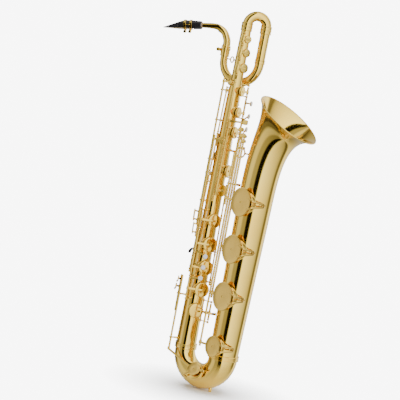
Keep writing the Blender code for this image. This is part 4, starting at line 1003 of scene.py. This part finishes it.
def build_palm_keys():
    outward = around(0.0, 1.0)
    for name, low, high, reach in (("palm_d_key", 922.0, 958.0, 13.0),
                                   ("palm_e_flat_key", 967.0, 1000.0, 12.0),
                                   ("palm_f_key", 1009.0, 1034.0, 11.0)):
        pivot = pivot_of(name + "_pivot")
        foot = at_height(pivot, 0.0)
        tilt = (outward * -3.0 + UP * 24.0).normalized()
        middle = foot + outward * (reach - 2.7) + UP * (low + 13.0)
        paddle = plate(middle, UP.cross(outward), tilt, 6.0, 12.4, 2.3, 2.7, 1.1)
        root = foot + UP * (low + 12.0)
        reach_arm = short_arm(root, outward, reach * 0.5, reach - 1.0, 6.6, 5.0)
        body_key(name, (low, high), [reach_arm, paddle], (), [low + 12.0])
    pivot = pivot_of("palm_d_key_pivot")
    rib_posts("palm_key_posts", 14.0, 5.0, pivot, (917.0, 962.5, 1004.5, 1039.0))


def build_octave_key():
    pivot = pivot_of("octave_key_pivot")
    outward = around(-104.0, 1.0)
    foot = at_height(pivot, 0.0)
    tilt = (outward * -2.0 + UP * 36.0).normalized()
    across = UP.cross(outward)
    paddle = plate(foot + outward * 6.6 + UP * 720.0, across, tilt, 8.5, 18.0, 2.6, 3.0, 1.0)
    root = foot + UP * 720.0
    body_key("octave_key", (700.0, 856.0), [paddle, short_arm(root, outward, 4.5, 8.6, 6.6, 5.4)], (),
             [720.0])
    outward = around(-140.0, 1.0)
    across = UP.cross(outward)
    root = foot + UP * 674.0
    paddle = plate(foot + outward * 10.6 + UP * 675.0, across, UP, 7.0, 13.0, 2.6, 2.8, 1.0)
    lever = [hinge_tube(pivot, 640.0, 690.0, [674.0]), paddle,
             short_arm(root, outward, 6.0, 11.4, 6.6, 5.4)]
    key_pieces("low_a_lever", pivot_of("low_a_lever_pivot"), 0.0, lever)
    rib_posts("thumb_key_posts", -127.0, 5.0, pivot, (635.0, 695.0, 861.0))
    rest = around(-92.0, body_radius(676.0) + 0.4, 676.0)
    profile = [(0.0, 0.0), (3.9, 0.0), (4.0, 2.4), (8.8, 3.4), (9.6, 4.6), (9.5, 6.4), (8.6, 7.8),
               (6.4, 8.6), (0.0, 9.0)]
    piece("thumb_rest_button", "horn", BLACK, [lathe(profile, rest, rest + around(-92.0, 1.0), 56)],
          ["thumb_rest"])


def table_touch(pivot, right, low, high):
    """A plate of the little finger's table, out in front of the long hinge tubes."""
    front = pivot[1] - 13.0
    middle = (low + high) / 2
    left = pivot[0] - 1.4
    right += 6.0
    root = at_height(pivot, middle - 4.0)
    return [bent_arm([root, root - NORTH * 6.5, root - NORTH * 13.0], 5.6, 4.8),
            plate(Vector(((left + right) / 2, front + 1.4, middle)), EAST, UP, (right - left) / 2,
                  (high - low) / 2,
                  2.6, 3.6, 0.5)]


def build_bell_keys():
    """The four low keys on the bell, with their long hinge tubes between the body and the bell."""
    spans = {"low_a_key": (548.0, 700.0), "low_b_flat_key": (416.0, 758.0), "low_b_key": (278.0, 758.0),
             "low_c_sharp_key": (134.0, 772.0)}
    touches = {"low_b_flat_key": (100.0, 732.0, 742.0), "low_b_key": (100.0, 746.0, 756.0),
               "low_c_sharp_key": (86.0, 762.0, 774.0)}
    for name, (low, high) in spans.items():
        z, radius = BELL_HOLES[name]
        pivot = pivot_of(name + "_pivot")
        axis_point, facing = bell_facing(z)
        seat = bell_radius(z) + BELL_CHIMNEY + CLOSED_LIFT
        top = axis_point + facing * (seat + BELL_CUP_THICK + 0.6)
        root = at_height(pivot, z)
        elbow = root - NORTH * 8.0
        way = (top - elbow).normalized()
        bar = bent_arm([root - NORTH * 1.0, elbow + NORTH * 2.2, elbow + way * 6.0, top,
                        top + way * 4.0], 8.0, 5.0, (3.4, 2.6))
        arms = [saddle(root, 5.2, 4.2), bar, hinge_tube(pivot, low, high, [z])]
        if name in touches:
            arms += table_touch(pivot, *touches[name])
        cup_set(name, pivot, (axis_point, facing, seat, radius), BELL_CUP_THICK, arms,
                open_swing(pivot, axis_point, facing))


def build_rod_brackets():
    order = ["low_a_key", "low_c_sharp_key", "low_b_key", "low_b_flat_key"]
    rods = [rod_place(name) for name in order]
    for name, z, first, last in (("bell_rod_bracket_top", 716.0, 1, 4),
                                 ("bell_rod_bracket_middle", 610.0, 0, 4),
                                 ("bell_rod_bracket_low", 230.0, 1, 2)):
        reach = bell_radius(min(z, 560.0)) + 1.4 + 9.0 * max(0.0, (z - 600.0) / 120.0) ** 2
        foot = around(-62.0, reach, z, (bell_x(z), 0.0))
        piece(name + "_cast", "horn", GOLD, eye_bracket(z, rods[first:last], foot, 5.0), [name])


def build_g_sharp_key():
    pivot = pivot_of("g_sharp_key_pivot")
    root, bend = at_height(pivot, 784.0), Vector((80.0, -56.0, 788.0))
    reach = bent_arm([root, (root + bend) / 2 - NORTH * 2.0, bend], 6.6, 5.2)
    across = Vector((20.0, -4.0, 1.0)).normalized()
    paddle = plate(Vector((88.0, -56.6, 789.5)), across, UP, 10.4, 7.5, 2.6, 3.4, 0.6)
    body_key("g_sharp_key", (566.0, 790.0), [reach, paddle], (), [784.0])


def guard_disc(base, facing, across, width, height):
    """An oval plate with a raised edge, a dished face and a hole for its bumper screw."""
    upward = UP - facing * facing.z
    levels = ((1.0, 0.25), (1.0, 1.3), (0.97, 1.75), (0.93, 1.8), (0.88, 1.3), (0.6, 1.12), (0.3, 1.2),
              (0.13, 1.5), (0.085, 1.5), (0.085, 0.3), (0.13, 0.0), (0.97, 0.0))
    rings = []
    for share, level in levels:
        grow_wide = share * width if share > 0.2 else share * 30.0
        grow_high = share * height if share > 0.2 else share * 30.0
        rings.append([base + facing * (level * GUARD_THICK / 1.8) + across * (grow_wide * math.cos(t))
                      + upward * (grow_high * math.sin(t)) for t in turns(72)])
    return loft(rings, closed=True)


def build_guards():
    for name, (z, cup_radius) in BELL_HOLES.items():
        axis_point, facing = bell_facing(z)
        across = facing.cross(UP) * -1.0
        height, width = (31.0, 26.0) if cup_radius < 30.0 else (42.0, 33.0)
        base = axis_point + facing * (bell_radius(z) + GUARD_RISE)
        level = base + facing * (GUARD_THICK / 2)
        foot_centre = (bell_x(z), 0.0)
        shapes = [guard_disc(base, facing, across, width, height)]
        for sign in (-1.0, 1.0):
            route = [level + across * (width * 0.72) + UP * (sign * height * 0.40),
                     level + across * (width * 0.97) + UP * (sign * height * 0.33),
                     level + across * (cup_radius + 5.2) + UP * (sign * 9.0) - facing * 2.6,
                     around(56.0, bell_radius(z) + 9.5, z + sign * 4.0, foot_centre),
                     around(50.0, bell_radius(z) + 2.6, z + sign * 2.0, foot_centre)]
            shapes.append(bent_arm(route, 5.4, 4.6, (2.3, 2.2), UP, 6))
        strip = [around(angle, bell_radius(z) + 1.7, z, foot_centre)
                 for angle in (44.0, 49.0, 54.0, 59.0, 64.0)]
        shapes.append(arm(strip, [6.0, 9.5, 10.5, 9.5, 6.0], [2.0] * 5, UP))
        label = name.replace("_key", "_guard")
        piece(label + "_plate", "horn", GUARD_GOLD, shapes, [label])
        bumper(label, base, facing)


def bumper(label, base, facing):
    """The adjusting screw in a guard's middle and the felt under it."""
    screw = lathe([(0.0, -1.0), (2.0, -1.0), (2.0, 0.4), (1.7, 0.7), (0.5, 0.75), (0.4, 0.35),
                   (0.0, 0.35)], base, base + facing, 28)
    piece(label + "_screw", "horn", GOLD, [screw])
    felt = lathe([(0.0, -1.6), (4.0, -1.6), (4.6, -1.3), (4.8, -0.9), (4.8, -0.3), (4.4, -0.05),
                  (0.0, -0.05)], base, base + facing, 36)
    piece(label + "_felt", "horn", FELT, [felt])


def roller_touch(pivot, z, angle):
    """A little-finger plate with a roller along its edge."""
    outward = around(angle, 1.0)
    foot = at_height(pivot, z)
    across = outward.cross(UP)
    roller = foot + outward * 12.5 - UP * 8.0
    barrel = lathe([(0.0, 0.0), (1.8, 0.0), (2.5, 0.7), (2.6, 2.0), (2.6, 12.0), (2.5, 13.3),
                    (1.8, 14.0), (0.0, 14.0)], roller - across * 7.0, roller, 28)
    return [short_arm(foot, outward, 6.0, 11.0, 6.6, 5.6),
            plate(foot + outward * 9.6, across * -1.0, UP, 7.0, 8.0, 2.5, 3.6, 0.6), barrel]


def build_low_c():
    pivot = pivot_of("low_c_key_pivot")
    axis_point, facing, seat = low_c_seat()
    seat += CLOSED_LIFT
    top = axis_point + facing * (seat + CUP_THICK + 0.6)
    root = at_height(pivot, 100.0)
    elbow = Vector((pivot[0], top.y - 1.0, 100.0))
    way = (top - elbow).normalized()
    bar = bent_arm([root - NORTH, elbow + NORTH * 3.0, elbow + way * 8.0, elbow + (top - elbow) * 0.6, top,
                    top + way * 3],
                   8.0, 5.0, (3.2, 2.6))
    arms = [bar, hinge_tube(pivot, 94.0, 318.0, [100.0, 306.0]), *roller_touch(pivot, 306.0, -62.0)]
    cup_set("low_c_key", pivot, (axis_point, facing, seat, LOW_C_HOLE[1]), CUP_THICK, arms,
            open_swing(pivot, axis_point, facing))
    base = axis_point + facing * (seat + OPEN_LIFT + CUP_THICK + LOW_C_GUARD_LIFT)
    upward = Vector((0.0, math.sin(LOW_C_TILT), math.cos(LOW_C_TILT)))
    shapes = [guard_disc_round(base, facing, EAST, upward, 19.0)]
    for side, rise, drop in ((-25.0, -23.0, 21.0), (32.0, 3.0, 21.0)):
        shoulder = base + facing + EAST * side + upward * rise
        start = base + facing + (shoulder - base).normalized() * 16.0
        shapes.append(bent_arm([start, shoulder, shoulder - facing * 6.0, shoulder - facing * drop],
                               7.0, 6.4, (2.2, 2.3), facing.cross(shoulder - base).normalized(), 6))
    piece("low_c_guard_plate", "horn", GUARD_GOLD, shapes, ["low_c_guard"])
    bumper("low_c_guard", base, facing)


def guard_disc_round(base, facing, right, upward, radius):
    """A round guard plate with a raised edge and a screw hole."""
    levels = ((1.0, 0.25), (1.0, 1.4), (0.95, 2.0), (0.86, 1.5), (0.5, 1.3), (0.2, 1.6), (0.13, 1.6),
              (0.13, 0.2), (0.2, 0.0), (0.95, 0.0))
    rings = [circle(base + facing * level, right, upward, share * radius, 56) for share, level in levels]
    return loft(rings, closed=True)


def build_e_flat():
    pivot = pivot_of("e_flat_key_pivot")
    body_key("e_flat_key", (200.0, 250.0))
    rib_posts("e_flat_posts", 112.0, 6.0, pivot, (195.0, 255.0))
    lever = pivot_of("e_flat_lever_pivot")
    key_pieces("e_flat_lever", lever, 0.0, [hinge_tube(lever, 210.0, 318.0, [282.0]),
                                            *roller_touch(lever, 282.0, -70.0)])
    low_c = rod_place("low_c_key")
    shapes = [rib(-45.0, 126.0, 268.0, 6.0)]
    for z, rods in ((132.0, [low_c]), (262.0, [low_c, rod_place("e_flat_lever")])):
        shapes += eye_bracket(z, rods, around(-45.0, body_radius(z) + 0.9, z), 4.0)
    piece("bow_key_brackets", "horn", GOLD, shapes, ["bow_key_posts"])


# ---------------------------------------------------------------- fittings

def strut(start, end, near, far, steps):
    """A turned strut between two soldered feet; far's heights are measured back from its end."""
    length = (end - start).length
    profile = [(0.0, 0.0), *near, *((radius, length - back) for radius, back in far), (0.0, length)]
    return lathe(profile, start, end, steps)


def build_bell_brace():
    z = BELL_BRACE_HEIGHT
    left, right = body_radius(z) + 0.2, bell_x(560.0) - BELL_RADIUS_STRAIGHT + 4.6
    middle = Vector((58.0, 0.0, z))
    shapes = [torus(middle, NORTH, 14.0, 2.4, 72, 18)]
    for side, end_x in ((-15.6, left), (15.6, right)):
        shapes.append(strut(middle + EAST * side, Vector((end_x, 0.0, z)),
                            [(3.4, 0.0), (3.7, 0.8), (2.6, 1.8), (2.2, 2.6)],
                            [(2.4, 2.6), (3.6, 1.8), (3.9, 0.4)], 28))
    shapes += eye_bracket(z, [rod_place("g_sharp_key")], middle - EAST * 14.0 - NORTH * 0.5, 4.0)
    piece("bell_brace_ring", "horn", GOLD, shapes, ["bell_brace"])


def build_crook_brace():
    z = CROOK_BRACE_HEIGHT
    start, end = Vector((RECEIVER_X, CROOK_Y, z)), Vector((0.0, 0.0, z))
    along = (end - start).normalized()
    middle = (start + end) / 2
    shapes = [torus(middle, along.cross(UP), 8.0, 1.9, 56, 14)]
    for root, tip in ((middle - along * 9.4, start + along * 11.6),
                      (middle + along * 9.4, end - along * (body_radius(z) + 0.3))):
        shapes.append(strut(root, tip, [(2.9, 0.0), (3.1, 0.7), (2.1, 1.6), (1.7, 2.4)],
                            [(1.9, 2.2), (3.0, 1.4), (3.2, 0.0)], 24))
    piece("crook_brace_ring", "horn", GOLD, shapes, ["crook_brace"])


def build_strap():
    eye = ORIGIN.copy()
    plate_x = -(body_radius(eye.z) + 0.5)
    backing = plate(Vector((plate_x, 0.0, eye.z)), NORTH * -1.0, UP, 6.0, 14.0, 1.8, 2.4, 0.0)
    stem = bent_arm([(plate_x - 1.0, 0.0, eye.z), (eye.x + 3.6, 0.0, eye.z)], 5.0, 5.0, (6.4, 5.6), UP, 3)
    lug = lathe([(2.4, -2.0), (4.5, -2.0), (5.1, -1.3), (5.1, 1.3), (4.5, 2.0), (2.4, 2.0), (2.1, 0.0),
                 (2.4, -2.0)], eye, eye + UP, 40)
    screws = [lathe([(0.0, -0.4), (1.7, -0.4), (1.6, 0.4), (0.9, 0.8), (0.0, 0.9)],
                    Vector((plate_x - 1.7, 0.0, eye.z + step)),
                    Vector((plate_x - 2.7, 0.0, eye.z + step)), 24) for step in (-10.0, 10.0)]
    piece("strap_eye_plate", "horn", GOLD, [backing, stem, lug, *screws], ["strap_eye"])
    ring = torus(eye - EAST * 9.0, NORTH, 9.0, 1.45, 80, 18)
    piece("strap_ring_wire", "strap_ring", SILVER, [ring], ["strap_ring"])


def build_thumb_hook():
    z = 395.0
    foot = around(-100.0, body_radius(z) + 0.8, z)
    outward = around(-100.0, 1.0)
    across = outward.cross(UP)
    route = [foot + outward * 1.0 + UP * 1.0, foot + outward * 11.0 + UP * 2.0,
             foot + outward * 21.0 - UP * 1.4,
             foot + outward * 27.4 - UP * 8.0, foot + outward * 29.0 - UP * 15.0]
    hook = bent_arm(route, 13.0, 11.0, (4.6, 4.0), across, 7)
    backing = plate(foot + outward * 0.2, across * -1.0, UP, 4.6, 12.0, 1.9, 2.6, 0.3)
    piece("thumb_hook_arm", "horn", BLACK, [hook, backing], ["thumb_hook"])
    screw = lathe([(0.0, -0.5), (2.6, -0.5), (2.6, 0.6), (2.2, 1.1), (0.5, 1.3), (0.4, 0.8), (0.0, 0.8)],
                  foot + outward * 2.2 - UP * 8.0, foot + outward * 3.2 - UP * 8.0, 24)
    piece("thumb_hook_screw", "horn", GOLD, [screw])


def build_water_key():
    pivot = pivot_of("water_key_pivot")
    body = [rod(pivot - NORTH * 3.2, pivot + NORTH * 3.2, 1.9, 24),
            bent_arm([pivot, pivot + Vector((7.0, 0.0, -1.2)), pivot + Vector((14.0, 0.0, -1.0))], 4.0,
                     5.6, (2.0, 1.8), NORTH), bent_arm([pivot, pivot + Vector((-8.0, 0.0, -1.8)),
                                                        pivot + Vector((-16.0, 0.0, -5.0))], 4.2, 7.0,
                                                       (2.0, 1.6), NORTH),
            lathe([(0.0, -0.4), (3.0, -0.4), (3.6, 0.2), (3.6, 2.4), (3.2, 2.6), (0.0, 2.6)],
                  pivot + Vector((14.0, 0.0, -1.3)), pivot + Vector((14.0, 0.0, 0.0)), 32)]
    piece("water_key_lever", "water_key", GOLD, body, ["water_key"])
    cork = lathe([(0.0, 2.2), (2.9, 2.2), (2.9, 4.2), (0.0, 4.4)], pivot + Vector((14.0, 0.0, -1.3)),
                 pivot + Vector((14.0, 0.0, 0.0)), 28)
    piece("water_key_cork", "water_key", CORK, [cork])


def long_rod(name, angle, lift, low, high, posts, radius=2.4):
    """A fixed long rod along the body tube with its posts and collars."""
    bottom, top = (around(angle, body_radius(z) + lift, z) for z in (low, high))
    shapes = [rod(bottom, top, radius, 20)]
    along = (top - bottom).normalized()
    ring = mirrored([(radius - 0.2, -2.2), (radius + 0.9, -1.8)])
    for z in posts:
        middle = mixed(bottom, top, (z - low) / (high - low))
        shapes.append(post(around(angle, body_radius(z) + 0.4, z), middle, 3.9))
        shapes += [collar(ring, middle + along * shift, along, 24) for shift in (-7.0, 7.0)]
    piece(name, "horn", GOLD, shapes)


def build_long_rods():
    """Plain long rods that stand still: they fill out the keywork and have no CAD part of their own."""
    long_rod("long_rod_left", -42.0, 7.0, 330.0, 880.0, (340.0, 470.0, 600.0, 740.0, 870.0))
    long_rod("long_rod_front", 22.0, 7.5, 548.0, 905.0, (556.0, 664.0, 780.0, 896.0))
    long_rod("long_rod_inner", 112.0, 8.0, 300.0, 600.0, (310.0, 400.0, 500.0, 590.0))


def build_springs():
    """Short needle springs, each on a small stud, along both ribs of posts."""
    shapes = []
    for angle, heights in ((-5.0, (284.0, 346.0, 416.0, 486.0)), (142.0, (640.0, 700.0, 760.0, 830.0))):
        for z in heights:
            start = around(angle + 8.0, body_radius(z) + 1.0, z)
            shapes.append(rod(start, around(angle + 8.0, body_radius(z) + 6.0, z + 3.0), 1.8, 16))
            shapes.append(rod(around(angle + 8.0, body_radius(z) + 5.0, z + 3.0),
                              around(angle + 10.0, body_radius(z) + 5.5, z + 30.0), 0.5, 8))
    piece("needle_springs", "horn", SILVER, shapes)


# ---------------------------------------------------------------- floor, light and camera

VIEW_TURN, VIEW_DROP, VIEW_ROLL = math.radians(31.0), math.radians(5.0), math.radians(10.8)
AIM = Vector((-57.9, 20.0, 536.7))
LENS, SENSOR = 135.0, 36.0
FRAME_WIDTH = 1.176
FLOOR_RADIUS, FLOOR_X, FLOOR_FADE = 0.9, 0.11, (0.05, 0.30)


def build_floor():
    """A round pale floor under the bow that fades out towards its edge."""
    shape = bmesh.new()
    bmesh.ops.create_circle(shape, cap_ends=True, segments=96, radius=FLOOR_RADIUS)
    mesh = bpy.data.meshes.new("floor")
    shape.to_mesh(mesh)
    shape.free()
    floor = bpy.data.objects.new("floor", mesh)
    floor.location = (FLOOR_X, 0.0, (2.0 - ORIGIN.z) * MM - 0.0005)
    bpy.context.scene.collection.objects.link(floor)
    made = bpy.data.materials.new("floor_look")
    made.use_nodes = True
    tree = made.node_tree
    shader = tree.nodes["Principled BSDF"]
    shader.inputs["Base Color"].default_value = (0.93, 0.93, 0.93, 1.0)
    shader.inputs["Roughness"].default_value = 0.8
    where = tree.nodes.new("ShaderNodeTexCoord")
    length = tree.nodes.new("ShaderNodeVectorMath")
    length.operation = "LENGTH"
    tree.links.new(where.outputs["Object"], length.inputs[0])
    fade = spread(tree, length.outputs["Value"], 0.0, 1.0, *FLOOR_FADE)
    clear = tree.nodes.new("ShaderNodeBsdfTransparent")
    mix = tree.nodes.new("ShaderNodeMixShader")
    tree.links.new(fade, mix.inputs["Fac"])
    tree.links.new(shader.outputs["BSDF"], mix.inputs[1])
    tree.links.new(clear.outputs["BSDF"], mix.inputs[2])
    tree.links.new(mix.outputs["Shader"], tree.nodes["Material Output"].inputs["Surface"])
    mesh.materials.append(made)


BACKDROP = (8.0, 8.0, 8.0)
# Brightness of the room by angle from the camera, positive to its right
ROOM_STOPS = (
    (-175.0, (0.7, 0.7, 0.7)), (-130.0, (0.12, 0.10, 0.08)), (-105.0, (0.30, 0.28, 0.25)),
    (-92.0, (1.3, 1.3, 1.3)), (-70.0, (1.3, 1.28, 1.25)), (-60.0, (0.62, 0.60, 0.56)),
    (-38.0, (0.62, 0.60, 0.56)), (-32.0, (0.006, 0.006, 0.006)), (-8.0, (0.006, 0.006, 0.006)),
    (-3.0, (2.8, 2.8, 2.8)), (30.0, (2.2, 2.2, 2.2)), (70.0, (1.4, 1.4, 1.4)), (84.0, (0.9, 0.9, 0.9)),
    (92.0, (0.25, 0.23, 0.20)), (106.0, (0.30, 0.28, 0.25)), (116.0, (2.4, 2.4, 2.4)),
    (150.0, (1.4, 1.4, 1.4)))


def build_room():
    """The studio: a pale backdrop, and a room that is bright with dark gaps where it lights and reflects."""
    world = bpy.data.worlds.new("studio")
    bpy.context.scene.world = world
    world.use_nodes = True
    tree = world.node_tree
    background = tree.nodes["Background"]
    where = tree.nodes.new("ShaderNodeTexCoord")
    split = tree.nodes.new("ShaderNodeSeparateXYZ")
    tree.links.new(where.outputs["Generated"], split.inputs["Vector"])
    turn = tree.nodes.new("ShaderNodeMath")
    turn.operation = "ARCTAN2"
    tree.links.new(split.outputs["Y"], turn.inputs[0])
    tree.links.new(split.outputs["X"], turn.inputs[1])
    share = spread(tree, turn.outputs["Value"], 0.0, 1.0, -math.pi, math.pi)
    camera_share = (math.degrees(VIEW_TURN) - 90.0 + 180.0) / 360.0

    def at(degrees):
        return (camera_share + degrees / 360.0) % 1.0
    stops = [(at(angle), grey) for angle, grey in ROOM_STOPS]
    stops.sort()
    bands = ramp(tree, share, stops)
    level = spread(tree, split.outputs["Z"], 0.42, 1.0, -0.9, 0.15)
    shade = tree.nodes.new("ShaderNodeVectorMath")
    shade.operation = "SCALE"
    tree.links.new(bands, shade.inputs[0])
    tree.links.new(level, shade.inputs["Scale"])
    seen = tree.nodes.new("ShaderNodeLightPath")
    mix = tree.nodes.new("ShaderNodeMix")
    mix.data_type = "RGBA"
    tree.links.new(seen.outputs["Is Camera Ray"], mix.inputs["Factor"])
    tree.links.new(shade.outputs["Vector"], mix.inputs["A"])
    mix.inputs["B"].default_value = (*BACKDROP, 1.0)
    tree.links.new(mix.outputs["Result"], background.inputs["Color"])


def area_light(name, place, aim, size, power):
    lamp = bpy.data.lights.new(name, "AREA")
    lamp.shape = "RECTANGLE"
    lamp.size, lamp.size_y = size
    lamp.energy = power
    obj = bpy.data.objects.new(name, lamp)
    obj.visible_glossy = False
    obj.location = place
    obj.rotation_euler = (Vector(aim) - Vector(place)).to_track_quat("-Z", "Y").to_euler()
    bpy.context.scene.collection.objects.link(obj)


def build_camera():
    right = Vector((math.cos(VIEW_TURN), math.sin(VIEW_TURN), 0.0))
    ahead = Vector((-math.sin(VIEW_TURN) * math.cos(VIEW_DROP), math.cos(VIEW_TURN) * math.cos(VIEW_DROP),
                    -math.sin(VIEW_DROP)))
    upward = right.cross(ahead)
    across = right * math.cos(VIEW_ROLL) + upward * math.sin(VIEW_ROLL)
    rising = upward * math.cos(VIEW_ROLL) - right * math.sin(VIEW_ROLL)
    data = bpy.data.cameras.new("camera")
    data.lens, data.sensor_width = LENS, SENSOR
    camera = bpy.data.objects.new("camera", data)
    distance = FRAME_WIDTH * LENS / SENSOR
    turn = Matrix((across, rising, -ahead)).transposed().to_4x4()
    camera.matrix_world = Matrix.Translation(ROW @ AIM - ahead * distance) @ turn
    bpy.context.scene.collection.objects.link(camera)
    bpy.context.scene.camera = camera


build_floor()
build_room()
area_light("key_light", (1.6, -1.6, 1.6), (0.0, 0.0, 0.0), (1.2, 1.2), 20.0)
area_light("top_light", (-0.4, -0.2, 2.2), (0.0, 0.0, 0.0), (1.4, 1.4), 16.0)
build_camera()

build_body_tube()
build_bottom_bow()
build_bell()
build_crook()
build_top_bow()
build_receiver()
build_neck()
build_mouthpiece()
build_lower_stack()
build_upper_stack()
build_side_keys()
build_palm_keys()
build_octave_key()
build_bell_keys()
build_rod_brackets()
build_g_sharp_key()
build_guards()
build_low_c()
build_e_flat()
build_bell_brace()
build_crook_brace()
build_strap()
build_thumb_hook()
build_water_key()
build_long_rods()
build_springs()
